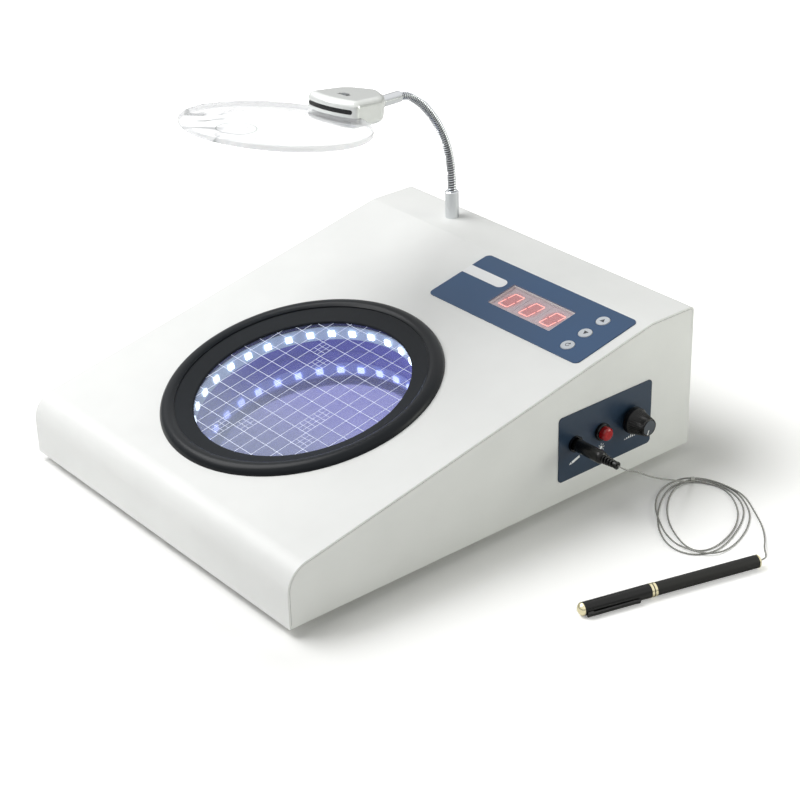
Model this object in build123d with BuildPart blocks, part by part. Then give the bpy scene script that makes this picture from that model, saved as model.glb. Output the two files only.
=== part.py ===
from build123d import *
import os
from math import cos, degrees, radians, sin, sqrt, tan

os.makedirs("parts", exist_ok=True)

# Colony counter. Millimetres, +Z up, +X to the right, +Y to the rear, standing on Z = 0.
# ---------------------------------------------------------------- housing
WIDTH = 290.0
DEPTH = 342.0
FRONT_H = 39.3        # front edge, from the tray's underside to the corner of front and slope
SHELF_H = 104.0       # rear shelf, above the tray's underside
SLOPE_ANGLE = 12.1
SHEET = 1.5
SEAM = 0.3            # gap between the cover and the tray beneath it
FRONT_R = 18.0
CREASE_R = 8.0
REAR_R = 4.0
REAR_LIP = 16.0
FLANGE_W = 10.0       # inward flange along the top of each side plate
TRAY_LIP = 12.0
FOOT_H = 6.0
FOOT_R = 9.0
FOOT_INSET = 28.0
FOOT_RECESS_R = 3.2   # recess under each foot for the head of its screw
FOOT_RECESS = 3.0
FOOT_DRAFT = 4.0
FOOT_NUT = 2.0        # thread of a foot's screw above the tray's sheet
SCREW_R = 1.5
SCREW_HEAD_R = 2.8
SCREW_HEAD_T = 1.6
SCREW_L = 7.0
SCREW_X = 118.0
VENTS = 10
VENT_PITCH = 7.0
VENT_SIZE = (30.0, 3.0)
VENT_AT = (-60.0, 58.0)
SMALL_SCREW_R = 1.25
SMALL_HEAD_R = 2.3
SMALL_HEAD_T = 1.6
FIT = 0.05            # radial clearance of a shaft in its hole
GAP = 0.3             # clearance between pieces that don't touch

# ---------------------------------------------------------------- dish station
RING_S = 125.0        # ring centre, up the slope from the front corner
RING_R = 96.5
BEAD_IN_R = 86.0
BEAD_H = 4.8
BEAD_IN_H = 3.4       # bead's height at its inner side
BEAD_LEAN = 1.2       # bead's crest, out from the middle of its width
STEP_H = 2.6
LIP_R = 74.0
LIP_T = 1.6
LIP_EDGE = 0.6
GLASS_SLACK = 0.2     # round the glass in the ring
GLASS_DEPTH = 2.6     # top of the glass below the slope
GLASS_R = 79.7
GLASS_T = 3.0
GLASS_EDGE = 0.3
FLANGE_LIP = 2.0      # width of the well's collar round the ring's neck
NECK_R = 84.5         # outside of the ring's neck, in the cover's hole
WELL_IN_R = 77.5
WELL_WALL = 1.5
WELL_FLANGE_R = 92.0
WELL_DEPTH = 32.0
MIRROR_T = 2.0
LED_COUNT = 31
LED_DEPTH = 12.9
LED_SIZE = (4.6, 4.0, 1.6)
STRIP_T = 0.8
STRIP_H = 10.4
WELL_SCREWS = 6
WELL_SCREW_R = 82.2
WELL_SCREW_L = 3.0    # into the ring

# ---------------------------------------------------------------- display panel on the slope
PANEL_X = 63.4
PANEL_S = 275.6
PANEL_W = 146.8
PANEL_L = 57.6
PANEL_R = 4.0
PANEL_T = 0.6
WINDOW_X = 64.7
WINDOW_S = 275.3
WINDOW_W = 60.6
WINDOW_L = 25.4
WINDOW_T = 0.9
WINDOW_REST = 1.0     # the cover's rim under each edge of the window
DIGITS = 3
DIGIT_PITCH = 20.2
DIGIT_H = 7.0
DIGIT_GAP = 0.3       # between one digit's module and the next
MODULE_GAP = 0.2
KEY_X = 117.0
KEY_S = {"key_up": 291.4, "key_down": 274.9, "key_reset": 258.6}
KEY_R = 4.8
KEY_PROUD = 0.4
KEY_TRAVEL = 0.4
KEY_EDGE = 0.3
KEY_SLACK = 0.1       # over a key's flange and under its stem
KEY_FLANGE = 1.3       # flange that keeps a key in, beyond the key's side
KEY_FLANGE_T = 0.9
KEY_STEM_R = 1.5
SWITCH_W = 6.0
SWITCH_H = 3.2
PLUNGER_R = 1.7
PLUNGER_H = 4.0
BOARD_T = 1.6
BOARD_EDGE = 4.0       # a board's edge to the middle of its screws
STANDOFF_R = 2.6
STANDOFF_H = 8.0
DISPLAY_BOARD = (139.0, 54.0)
DISPLAY_BOARD_X = 61.5

# ---------------------------------------------------------------- right side panel
SIDE_Y = 90.2
SIDE_Z = 38.7         # above the tray's underside
SIDE_W = 84.8
SIDE_L = 47.8
SIDE_R = 3.0
SIDE_T = 0.6
CONTROL_Z = 39.8
JACK_Y = 62.0
BUTTON_Y = 86.3
KNOB_Y = 113.0
BEZEL_R = 6.2
BEZEL_T = 2.6
BEZEL_EDGE = 0.6
BUTTON_BUSH_R = 5.4
BUTTON_NUT_R = 7.4     # corner of the hexagon
CAP_R = 4.7
CAP_PROUD = 7.2
CAP_SUNK = 4.0        # length of the cap within its body
CAP_ROUND = 2.2
BUTTON_TRAVEL = 2.0
BUTTON_BODY_L = 20.0
JACK_NUT_R = 5.6
JACK_BODY = 13.0
JACK_WALL = 4.0       # jack body behind the end of the plug's pin
NUT_T = 2.0
JACK_BUSH_R = 4.0
JACK_BORE_R = 1.8
KNOB_R = 9.5
KNOB_TIP_R = 6.2
KNOB_L = 15.5
KNOB_SKIRT = 4.0
KNOB_SKIRT_R = 8.9
KNOB_ROUND = 0.8
KNOB_NUT_R = 5.0
KNOB_BUSH_R = 3.6
SHAFT_R = 2.5
SHAFT_IN = 4.5        # shaft inside the dimmer's body
SHAFT_OUT = 11.0      # shaft inside the knob
POT_R = 8.5
POT_L = 9.0

# ---------------------------------------------------------------- rear connectors
INLET_X = 100.0
ROCKER_X = 62.0
CONNECTOR_Z = 34.0
CONNECTOR_T = 2.4
INLET_FACE = (34.0, 34.0)
INLET_HOLE = (24.0, 28.0)
INLET_DEPTH = 24.0
SOCKET = (21.0, 14.0)
SOCKET_RISE = 5.0     # middle of the socket above the inlet's
SOCKET_DEPTH = 18.0
BLADE = (1.8, 4.0)
BLADE_L = 14.0
BLADES_AT = ((-7.0, -2.0), (7.0, -2.0), (0.0, 2.5))
DRAWER = (20.0, 8.0)
DRAWER_DROP = 8.5     # middle of the fuse drawer below the inlet's
DRAWER_L = 19.0
DRAWER_STOP = 1.0     # space behind the closed drawer
DRAWER_GRIP = (10.0, 1.6, 0.8)
ROCKER_FACE = (15.0, 21.5)
ROCKER_HOLE = (13.0, 19.5)
ROCKER_WELL = (10.0, 17.0)
ROCKER_WELL_DEPTH = 9.0
ROCKER_DEPTH = 17.0
ROCKER_W = 9.4
CORNERS = {"inlet": 2.0, "socket": 3.0, "rocker": 1.5}
ROCKER_SINK = 1.5     # rocker's pivot behind the panel's face
ROCKER_RISE = 5.9     # rocker's high end, out from its pivot

# ---------------------------------------------------------------- boards inside
MAIN_BOARD = (120.0, 74.0)
MAIN_BOARD_AT = (45.0, 88.0)
CHIP = (32.0, 12.0, 3.6)
CHIP_AT = (-10.0, 8.0)
BEEPER_R = 6.0
BEEPER_AT = (38.0, 22.0)
CAPACITOR_R = 4.0
CAPACITORS_AT = ((-45.0, -20.0), (-32.0, -20.0))
CAPACITOR_H = 9.5
SUPPLY_BOARD = (88.0, 70.0)
SUPPLY_AT = (-82.0, 84.0)
TRANSFORMER = (46.0, 38.0, 32.0)
TRANSFORMER_AT = (-16.0, 4.0)
LARGE_CAN_R = 8.0
LARGE_CAN_AT = (28.0, 14.0)
SMALL_CAN_R = 5.0
SMALL_CAN_AT = (28.0, -14.0)
CAN_H = 22.0

# ---------------------------------------------------------------- gooseneck
NECK_X = -78.7
NECK_Y = 152.0
NECK_AIM = 8.0        # its bending plane, turned from straight forward towards +X
FERRULE_R = 5.1
FERRULE_H = 20.5
FERRULE_EDGE = 0.6
STUD_R = 3.0
STUD_NUT_R = 6.0
STUD_NUT_T = 2.0
NECK_TUBE_R = 3.4
NECK_BORE_R = 1.5
LINK_LENGTH = 13.8
LINK_TURNS = (4.0, 9.5, 9.5, 8.0, 7.5, 7.0, 12.0, 29.0)
LINK_GAP = 0.7
TIP_R = 4.1
TIP_LENGTH = 20.0
TIP_EDGE = 0.5

# ---------------------------------------------------------------- magnifier
LENS_R = 63.5
LENS_T = 4.0
LENS_EDGE = 0.6
LENS_SLACK = (0.15, 0.05)   # round the lens in its head, and over each face
LENS_AIM = 11.3
LENS_PITCH = 9.7      # the lens rises this much away from its head
LENS_REACH = 105.0    # lens centre to the end of the gooseneck's tip
LENS_DROP = 3.3       # lens middle below the tip's axis
HEAD_W = 45.0
HEAD_BITE = 14.6      # how far the head reaches in over the lens
HEAD_TOP = 13.2
HEAD_LOW = 5.4
HEAD_CORNER_R = 5.0
HEAD_FRONT_R = 46.0   # the head's mouth is bowed outwards, seen from above
SHOULDER_AT = 29.0    # middle of the head's round shoulders, behind its mouth
SHOULDER_R = 20.5
HEAD_TOP_ROUND = 4.5
HEAD_LOW_ROUND = 4.5
HEAD_SKIN = 2.6       # from the head's plan to the hollow in it
HEAD_WALL = 1.6
COLLAR_R = 5.4
COLLAR_L = 4.0
COLLAR_ROOT = 3.0     # length of the collar inside the head
COLLAR_CHEEK = 1.6    # head's wall round the collar
LAMP_W = 38.0
LAMP_H = 3.2
LAMP_RISE = 2.2       # lamp strip above the lens's flat rim
LAMP_IN = 0.4         # face of the lamp strip, back from the head's mouth
SWITCH_AT = 17.0      # middle of the slider's slot, behind the mouth
SWITCH_SLOT = (9.0, 4.0)
SWITCH_TRAVEL = 3.0
SWITCH_PROUD = 0.8
SWITCH_CORNER = 1.2
LAMP_CORNER = 1.5
LENS_BULGE = 2.4      # each face of the lens rises this much from its rim to its middle
LENS_RIM = 2.0
INSERT_R = 13.0       # strong small lens moulded into the large one
INSERT_BULGE = 1.6
INSERT_AT = 38.0      # its distance from the lens's middle, away from the head

# ---------------------------------------------------------------- pen and its cord
PLUG_R = 4.4
PLUG_L = 24.0
PLUG_EDGE = 0.6
PLUG_GAP = 0.15       # between the plug's handle and the jack
BOOT_R = 3.4
BOOT_L = 13.0
BOOT_TIP_R = 1.9
PIN_R = 1.75
PIN_L = 14.0
PIN_EDGE = 0.8
PEN_REAR = (276.7, 95.3)
PEN_AIM = 16.1        # the pen's length, turned from straight forward towards the housing
PEN_LENGTH = 127.5
PEN_R = 4.25
PEN_CAP_R = 4.5
PEN_CAP_L = 53.5
PEN_STEP = 0.3        # edge of the barrel beside its end ring
PEN_NOSE_R = 3.4
PEN_NOSE_L = 14.0
PEN_CONE_L = 12.0
PEN_POINT_R = 1.6
PEN_BORE_R = 1.15
PEN_BORE_WALL = 2.0   # bore's bottom, inside the nose
TIP_POINT = (1.1, 1.2, 3.2, 0.4)   # radius, shoulder and point past the cone, point's radius
PEN_CAP_END = 3.0
PEN_DOME_L = 3.5
PEN_DOME_BAND = 0.8
PEN_RING_L = 1.6
PEN_RING_GAP = 0.7
PEN_INLAY = 0.25      # depth of the gold rings in the cap
PEN_REAR_CHAMFER = 0.8
CLIP_L = 36.0
CLIP_W = 3.2
CLIP_SEAT = 1.0       # clip's root, back from the dome
CLIP_FOOT = 4.0
CLIP_T = 0.9
CLIP_LIFT = 0.5
CLIP_TOE = 3.0
CLIP_ROLL = 22.0      # the clip points sideways and a little down
PEN_TIP_TRAVEL = 1.0
CORD_R = 0.55
COIL_AT = (211.0, 109.5)
COIL_OUT = (48.0, 34.0)   # half its length and half its width, outside
COIL_BAND = 9.0
COIL_TURN = -47.0         # its length, turned from +X
COIL_H = 4.5

# The footprint runs from the housing's left side to the pen's rear end, and from the front to
# the connectors at the rear. The origin is its middle, on the surface that the housing stands on.
pen_right = (
    PEN_REAR[0] - PEN_REAR_CHAMFER * sin(radians(PEN_AIM)) + PEN_R * cos(radians(PEN_AIM))
)
body_x = -(pen_right - WIDTH / 2) / 2
rear_proud = ROCKER_RISE - ROCKER_SINK - SHEET - SEAM
body_y = -rear_proud / 2


# ================================================================ planes and shared outlines
def level(x, y, z):
    """Horizontal plane; x and y from the housing's middle, z above the table."""
    return Plane(origin=(body_x + x, body_y + y, z))


def facing_right(x, y, z):
    """Plane with +X out of it; its own x is +Y and its own y is +Z."""
    return Plane(origin=(body_x + x, body_y + y, z), x_dir=(0, 1, 0), z_dir=(1, 0, 0))


def facing_back(x, y, z):
    """Plane with +Y out of it; its own x is -X and its own y is +Z."""
    return Plane(origin=(body_x + x, body_y + y, z), x_dir=(-1, 0, 0), z_dir=(0, 1, 0))


front_z = FOOT_H + FRONT_H
shelf_z = FOOT_H + SHELF_H
rise = radians(SLOPE_ANGLE)
slope = Plane(
    origin=(body_x, body_y - DEPTH / 2, front_z),
    x_dir=(1, 0, 0),
    z_dir=(0, -sin(rise), cos(rise)),
)


def on_slope(x, s, h=0.0):
    """Plane parallel to the slope; s up the slope from the front corner, h above it."""
    return Plane(origin=slope.from_local_coords((x, s, h)), x_dir=slope.x_dir, z_dir=slope.z_dir)


def cover_line(inset, front_low, rear_low):
    """The housing's outline seen from the right, `inset` under its outer skin."""
    slope_front = front_z + inset * (tan(rise) - 1 / cos(rise))
    crease_y = -DEPTH / 2 + (shelf_z - front_z - inset + inset / cos(rise)) / tan(rise)
    return FilletPolyline(
        (-DEPTH / 2 + inset, front_low),
        (-DEPTH / 2 + inset, slope_front),
        (crease_y, shelf_z - inset),
        (DEPTH / 2 - inset, shelf_z - inset),
        (DEPTH / 2 - inset, rear_low),
        radius=[FRONT_R - inset, CREASE_R, max(REAR_R - inset, 0.5)],
    )


def sheet_strip(inset, thickness, front_low, rear_low):
    """Closed outline of a bent sheet under the housing's outline, drawn as lines."""
    outer = cover_line(inset, front_low, rear_low)
    inner = cover_line(inset + thickness, front_low, rear_low)
    Line(outer @ 0, inner @ 0)
    Line(outer @ 1, inner @ 1)


def screw_spread(board):
    """Distances between a board's screws, along and across it."""
    return (board[0] - 2 * BOARD_EDGE, board[1] - 2 * BOARD_EDGE)


def cap_drop(base_r, height):
    """Drop of a spherical cap from its top, at half the radius of its base."""
    sphere_r = (base_r**2 + height**2) / (2 * height)
    return sphere_r - sqrt(sphere_r**2 - (base_r / 2) ** 2)


side_view = facing_right(0, 0, 0)
tray_inset = SHEET + SEAM
control_z = FOOT_H + CONTROL_Z
panel_y = DEPTH / 2 - SHEET - SEAM        # outer face of the back panel

# ================================================================ housing
panel_low = FOOT_H + SHEET
panel_high = shelf_z - SHEET - REAR_R
cover_screws = [(sx * SCREW_X, shelf_z - REAR_LIP / 2 - 1.0) for sx in (-1, 1)]
tray_screws = [(sx * SCREW_X, FOOT_H + TRAY_LIP / 2 + 1.0) for sx in (-1, 1)]
window_hole = (WINDOW_W - 2 * WINDOW_REST, WINDOW_L - 2 * WINDOW_REST)
key_hole_r = KEY_R + GAP
foot_spread = (WIDTH - 2 * FOOT_INSET, DEPTH - 2 * FOOT_INSET)

with BuildPart() as top_cover:
    with BuildSketch(side_view):
        with BuildLine():
            sheet_strip(0, SHEET, FOOT_H, shelf_z - REAR_LIP)
        make_face()
    extrude(amount=WIDTH / 2, both=True)
    with BuildSketch(slope):
        with Locations((0, RING_S)):
            Circle(NECK_R + GAP)
        with Locations((WINDOW_X, WINDOW_S)):
            Rectangle(*window_hole)
        with Locations(*[(KEY_X, s) for s in KEY_S.values()]):
            Circle(key_hole_r)
    extrude(amount=2 * SHEET, both=True, mode=Mode.SUBTRACT)
    with BuildSketch(level(NECK_X, NECK_Y, shelf_z)):
        Circle(STUD_R + FIT)
    extrude(amount=2 * SHEET, both=True, mode=Mode.SUBTRACT)
    with BuildSketch(facing_back(0, DEPTH / 2, 0)):
        with Locations(*cover_screws):
            Circle(SCREW_R + FIT)
    extrude(amount=-SHEET, mode=Mode.SUBTRACT)

with BuildPart() as chassis_tray:
    with BuildSketch(level(0, 0, FOOT_H)):
        Rectangle(WIDTH, DEPTH - 2 * tray_inset)
    extrude(amount=SHEET)
    for hand in (-1, 1):
        with BuildSketch(side_view.offset(hand * WIDTH / 2)):
            with BuildLine():
                plate = cover_line(tray_inset, FOOT_H, FOOT_H)
                Line(plate @ 0, plate @ 1)
            make_face()
        extrude(amount=-hand * SHEET)
        with BuildSketch(side_view.offset(hand * WIDTH / 2)):
            with BuildLine():
                sheet_strip(tray_inset, SHEET, front_z - FRONT_R, shelf_z - REAR_LIP)
            make_face()
        extrude(amount=-hand * (SHEET + FLANGE_W))
    with BuildSketch(facing_back(0, DEPTH / 2, (panel_low + shelf_z) / 2)):
        Rectangle(WIDTH - 2 * SHEET, shelf_z - panel_low)
    extrude(amount=-(DEPTH / 2 - panel_y + SHEET), mode=Mode.SUBTRACT)
    with BuildSketch(level(0, (DEPTH / 2 + panel_y) / 2, FOOT_H)):
        with GridLocations(WIDTH - SHEET, 0, 2, 1):
            Rectangle(SHEET, DEPTH / 2 - panel_y)
    extrude(amount=shelf_z - REAR_LIP - SEAM - FOOT_H)
    for lip_y in (SHEET / 2 + tray_inset - DEPTH / 2, panel_y - 1.5 * SHEET):
        with BuildSketch(level(0, lip_y, FOOT_H)):
            Rectangle(WIDTH - 2 * SHEET, SHEET)
        extrude(amount=TRAY_LIP)
    with BuildSketch(facing_back(0, panel_y, 0)):
        with Locations(*tray_screws):
            Circle(SCREW_R + FIT)
    extrude(amount=-3 * SHEET, mode=Mode.SUBTRACT)
    with BuildSketch(facing_right(WIDTH / 2, 0, control_z)):
        with Locations((JACK_Y, 0)):
            Circle(JACK_BUSH_R + FIT)
        with Locations((BUTTON_Y, 0)):
            Circle(BUTTON_BUSH_R + FIT)
        with Locations((KNOB_Y, 0)):
            Circle(KNOB_BUSH_R + FIT)
    extrude(amount=-SHEET, mode=Mode.SUBTRACT)
    with BuildSketch(level(0, 0, FOOT_H)):
        with GridLocations(*foot_spread, 2, 2):
            Circle(SCREW_R + FIT)
    extrude(amount=SHEET, mode=Mode.SUBTRACT)

with BuildPart() as feet:
    with BuildSketch(level(0, 0, 0)):
        with GridLocations(*foot_spread, 2, 2):
            Circle(FOOT_R)
    extrude(amount=FOOT_H, taper=-FOOT_DRAFT)
    with BuildSketch(level(0, 0, 0)):
        with GridLocations(*foot_spread, 2, 2):
            Circle(FOOT_RECESS_R)
    extrude(amount=FOOT_RECESS, mode=Mode.SUBTRACT)
    with BuildSketch(level(0, 0, 0)):
        with GridLocations(*foot_spread, 2, 2):
            Circle(SCREW_R + FIT)
    extrude(amount=FOOT_H, mode=Mode.SUBTRACT)

with BuildPart() as back_panel:
    with BuildSketch(facing_back(0, panel_y, (panel_low + panel_high) / 2)):
        Rectangle(WIDTH - 2 * SHEET - 2 * GAP, panel_high - panel_low)
    extrude(amount=-SHEET)
    with BuildSketch(facing_back(0, panel_y, FOOT_H + CONNECTOR_Z)):
        with Locations((-INLET_X, 0)):
            Rectangle(*INLET_HOLE)
        with Locations((-ROCKER_X, 0)):
            Rectangle(*ROCKER_HOLE)
    extrude(amount=-SHEET, mode=Mode.SUBTRACT)
    with BuildSketch(facing_back(VENT_AT[0], panel_y, FOOT_H + VENT_AT[1])):
        with GridLocations(VENT_PITCH, 0, VENTS, 1):
            SlotOverall(*VENT_SIZE, rotation=90)
    extrude(amount=-SHEET, mode=Mode.SUBTRACT)
    with BuildSketch(facing_back(0, panel_y, 0)):
        with Locations(*cover_screws, *tray_screws):
            Circle(SCREW_R + FIT)
    extrude(amount=-SHEET, mode=Mode.SUBTRACT)

# ================================================================ dish station
dish_top = on_slope(0, RING_S)
dish_axis = Axis(dish_top.origin, dish_top.z_dir)
dish_section = Plane(origin=dish_top.origin, x_dir=slope.x_dir, z_dir=-slope.y_dir)
glass_low = -GLASS_DEPTH - GLASS_T
well_wall_r = WELL_IN_R + WELL_WALL
collar_r = NECK_R + FLANGE_LIP
crest_r = (RING_R + BEAD_IN_R) / 2 + BEAD_LEAN

with BuildPart() as dish_ring:
    with BuildSketch(dish_section):
        with BuildLine():
            ThreePointArc((RING_R, 0), (crest_r, BEAD_H), (BEAD_IN_R, BEAD_IN_H))
            Polyline(
                (BEAD_IN_R, BEAD_IN_H),
                (BEAD_IN_R, STEP_H),
                (LIP_R + LIP_EDGE, LIP_T - GLASS_DEPTH),
                (LIP_R, LIP_T - GLASS_DEPTH - LIP_EDGE),
                (LIP_R, -GLASS_DEPTH),
                (GLASS_R + GLASS_SLACK, -GLASS_DEPTH),
                (GLASS_R + GLASS_SLACK, glass_low),
                (NECK_R, glass_low),
                (NECK_R, 0),
                (RING_R, 0),
            )
        make_face()
    revolve(axis=dish_axis)
    with BuildSketch(dish_top.offset(glass_low)):
        with PolarLocations(WELL_SCREW_R, WELL_SCREWS):
            Circle(SMALL_SCREW_R + FIT)
    extrude(amount=WELL_SCREW_L + 1.0, mode=Mode.SUBTRACT)

with BuildPart() as grid_glass:
    with BuildSketch(dish_top.offset(glass_low)):
        Circle(GLASS_R)
    extrude(amount=GLASS_T)
    chamfer(grid_glass.edges(), length=GLASS_EDGE)

with BuildPart() as light_well:
    with BuildSketch(dish_section):
        with BuildLine():
            Polyline(
                (WELL_IN_R, glass_low),
                (collar_r, glass_low),
                (collar_r, -SHEET),
                (WELL_FLANGE_R, -SHEET),
                (WELL_FLANGE_R, glass_low - WELL_WALL),
                (well_wall_r, glass_low - WELL_WALL),
                (well_wall_r, -WELL_DEPTH),
                (0, -WELL_DEPTH),
                (0, -WELL_DEPTH + WELL_WALL),
                (WELL_IN_R, -WELL_DEPTH + WELL_WALL),
                (WELL_IN_R, glass_low),
            )
        make_face()
    revolve(axis=dish_axis)
    with BuildSketch(dish_top.offset(glass_low)):
        with PolarLocations(WELL_SCREW_R, WELL_SCREWS):
            Circle(SMALL_SCREW_R + FIT)
    extrude(amount=-WELL_WALL, mode=Mode.SUBTRACT)

strip_in_r = WELL_IN_R - STRIP_T
with BuildPart() as led_strip:
    with BuildSketch(dish_top.offset(-LED_DEPTH - STRIP_H / 2)):
        Circle(WELL_IN_R)
        Circle(strip_in_r, mode=Mode.SUBTRACT)
    extrude(amount=STRIP_H)

led_back_r = sqrt(strip_in_r**2 - (LED_SIZE[0] / 2) ** 2)
with BuildPart() as leds:
    for index in range(LED_COUNT):
        turn = radians(index * 360.0 / LED_COUNT)
        out = slope.x_dir * cos(turn) + slope.y_dir * sin(turn)
        seat = dish_top.offset(-LED_DEPTH).origin + out * led_back_r
        with BuildSketch(Plane(origin=seat, x_dir=slope.z_dir, z_dir=-out)):
            Rectangle(LED_SIZE[1], LED_SIZE[0])
        extrude(amount=LED_SIZE[2])

with BuildPart() as mirror_plate:
    with BuildSketch(dish_top.offset(-WELL_DEPTH + WELL_WALL)):
        Circle(WELL_IN_R - GAP)
    extrude(amount=MIRROR_T)

# ================================================================ display on the slope
with BuildPart() as display_overlay:
    with BuildSketch(on_slope(PANEL_X, PANEL_S)):
        RectangleRounded(PANEL_W, PANEL_L, PANEL_R)
        with Locations((WINDOW_X - PANEL_X, WINDOW_S - PANEL_S)):
            Rectangle(WINDOW_W, WINDOW_L, mode=Mode.SUBTRACT)
        with Locations(*[(KEY_X - PANEL_X, s - PANEL_S) for s in KEY_S.values()]):
            Circle(key_hole_r, mode=Mode.SUBTRACT)
    extrude(amount=PANEL_T)

with BuildPart() as display_window:
    with BuildSketch(on_slope(WINDOW_X, WINDOW_S)):
        Rectangle(WINDOW_W, WINDOW_L)
    extrude(amount=WINDOW_T)

module_top = -SHEET - MODULE_GAP
board_top = module_top - DIGIT_H
with BuildPart() as digit_modules:
    with BuildSketch(on_slope(WINDOW_X, WINDOW_S, board_top)):
        with GridLocations(DIGIT_PITCH, 0, DIGITS, 1):
            Rectangle(DIGIT_PITCH - DIGIT_GAP, WINDOW_L)
    extrude(amount=DIGIT_H)

with BuildPart() as display_board:
    with BuildSketch(on_slope(DISPLAY_BOARD_X, PANEL_S, board_top)):
        Rectangle(*DISPLAY_BOARD)
        with GridLocations(*screw_spread(DISPLAY_BOARD), 2, 2):
            Circle(SMALL_SCREW_R + FIT, mode=Mode.SUBTRACT)
    extrude(amount=-BOARD_T)

# Each key hangs from its flange under the cover and comes down on its own switch.
key_flange_top = -SHEET - KEY_SLACK
key_flange_low = key_flange_top - KEY_FLANGE_T
stem_low = board_top + PLUNGER_H + KEY_TRAVEL + KEY_SLACK
with BuildPart() as key_switches:
    for s in KEY_S.values():
        with BuildSketch(on_slope(KEY_X, s, board_top)):
            Rectangle(SWITCH_W, SWITCH_W)
        extrude(amount=SWITCH_H)
        with BuildSketch(on_slope(KEY_X, s, board_top)):
            Circle(PLUNGER_R)
        extrude(amount=PLUNGER_H)

keys = {}
for key_name, s in KEY_S.items():
    with BuildPart() as key:
        with BuildSketch(on_slope(KEY_X, s, key_flange_top)):
            Circle(KEY_R)
        extrude(amount=PANEL_T + KEY_PROUD - key_flange_top)
        chamfer(key.faces().sort_by(Axis(slope.origin, slope.z_dir))[-1].edges(), length=KEY_EDGE)
        with BuildSketch(on_slope(KEY_X, s, key_flange_top)):
            Circle(KEY_R + KEY_FLANGE)
        extrude(amount=-KEY_FLANGE_T)
        with BuildSketch(on_slope(KEY_X, s, key_flange_low)):
            Circle(KEY_STEM_R)
        extrude(amount=stem_low - key_flange_low)
    keys[key_name] = key

# ================================================================ right side panel
with BuildPart() as side_overlay:
    with BuildSketch(facing_right(WIDTH / 2, SIDE_Y, FOOT_H + SIDE_Z)):
        RectangleRounded(SIDE_W, SIDE_L, SIDE_R)
        with Locations((JACK_Y - SIDE_Y, CONTROL_Z - SIDE_Z)):
            Circle(JACK_BUSH_R + FIT, mode=Mode.SUBTRACT)
        with Locations((BUTTON_Y - SIDE_Y, CONTROL_Z - SIDE_Z)):
            Circle(BUTTON_BUSH_R + FIT, mode=Mode.SUBTRACT)
        with Locations((KNOB_Y - SIDE_Y, CONTROL_Z - SIDE_Z)):
            Circle(KNOB_BUSH_R + FIT, mode=Mode.SUBTRACT)
    extrude(amount=SIDE_T)

panel_out = WIDTH / 2 + SIDE_T      # outer face of the overlay
panel_in = WIDTH / 2 - SHEET        # inner face of the side plate


def at_control(y, x):
    """Plane facing right, on the axis of the control at y, at x from the housing's middle."""
    return facing_right(x, y, control_z)


with BuildPart() as jack_socket:
    with BuildSketch(at_control(JACK_Y, panel_in)):
        Rectangle(JACK_BODY, JACK_BODY)
    extrude(amount=-(PIN_L + JACK_WALL))
    with BuildSketch(at_control(JACK_Y, panel_in)):
        Circle(JACK_BUSH_R)
    extrude(amount=panel_out - panel_in + NUT_T)
    with BuildSketch(at_control(JACK_Y, panel_out + NUT_T)):
        Circle(JACK_BORE_R)
    extrude(amount=-(PIN_L + JACK_WALL), mode=Mode.SUBTRACT)

with BuildPart() as mounting_nuts:
    with BuildSketch(at_control(JACK_Y, panel_out)):
        Circle(JACK_NUT_R)
        Circle(JACK_BUSH_R + FIT, mode=Mode.SUBTRACT)
    extrude(amount=NUT_T)
    with BuildSketch(at_control(KNOB_Y, panel_out)):
        RegularPolygon(KNOB_NUT_R, 6)
        Circle(KNOB_BUSH_R + FIT, mode=Mode.SUBTRACT)
    extrude(amount=NUT_T)
    with BuildSketch(at_control(BUTTON_Y, panel_in)):
        RegularPolygon(BUTTON_NUT_R, 6)
        Circle(BUTTON_BUSH_R + FIT, mode=Mode.SUBTRACT)
    extrude(amount=-NUT_T)

cap_in = panel_out + BEZEL_T - CAP_SUNK
with BuildPart() as button_body:
    with BuildSketch(at_control(BUTTON_Y, panel_out)):
        Circle(BEZEL_R)
    extrude(amount=BEZEL_T)
    chamfer(button_body.faces().sort_by(Axis.X)[-1].edges(), length=BEZEL_EDGE)
    with BuildSketch(at_control(BUTTON_Y, panel_out)):
        Circle(BUTTON_BUSH_R)
    extrude(amount=-BUTTON_BODY_L)
    with BuildSketch(at_control(BUTTON_Y, panel_out + BEZEL_T)):
        Circle(CAP_R + FIT)
    extrude(amount=-(CAP_SUNK + BUTTON_TRAVEL + GAP), mode=Mode.SUBTRACT)

with BuildPart() as button_cap:
    with BuildSketch(at_control(BUTTON_Y, cap_in)):
        Circle(CAP_R)
    extrude(amount=panel_out + CAP_PROUD - cap_in)
    fillet(button_cap.faces().sort_by(Axis.X)[-1].edges(), radius=CAP_ROUND)

knob_in = panel_out + NUT_T + GAP
shaft_in = panel_in - SHAFT_IN
with BuildPart() as pot_body:
    with BuildSketch(at_control(KNOB_Y, panel_in)):
        Circle(POT_R)
    extrude(amount=-POT_L)
    with BuildSketch(at_control(KNOB_Y, panel_in)):
        Circle(KNOB_BUSH_R)
    extrude(amount=panel_out - panel_in + NUT_T)
    with BuildSketch(at_control(KNOB_Y, panel_out + NUT_T)):
        Circle(SHAFT_R + FIT)
    extrude(amount=-(panel_out + NUT_T - shaft_in + GAP), mode=Mode.SUBTRACT)

with BuildPart() as pot_shaft:
    with BuildSketch(at_control(KNOB_Y, shaft_in)):
        Circle(SHAFT_R)
    extrude(amount=knob_in + SHAFT_OUT - shaft_in)

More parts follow.
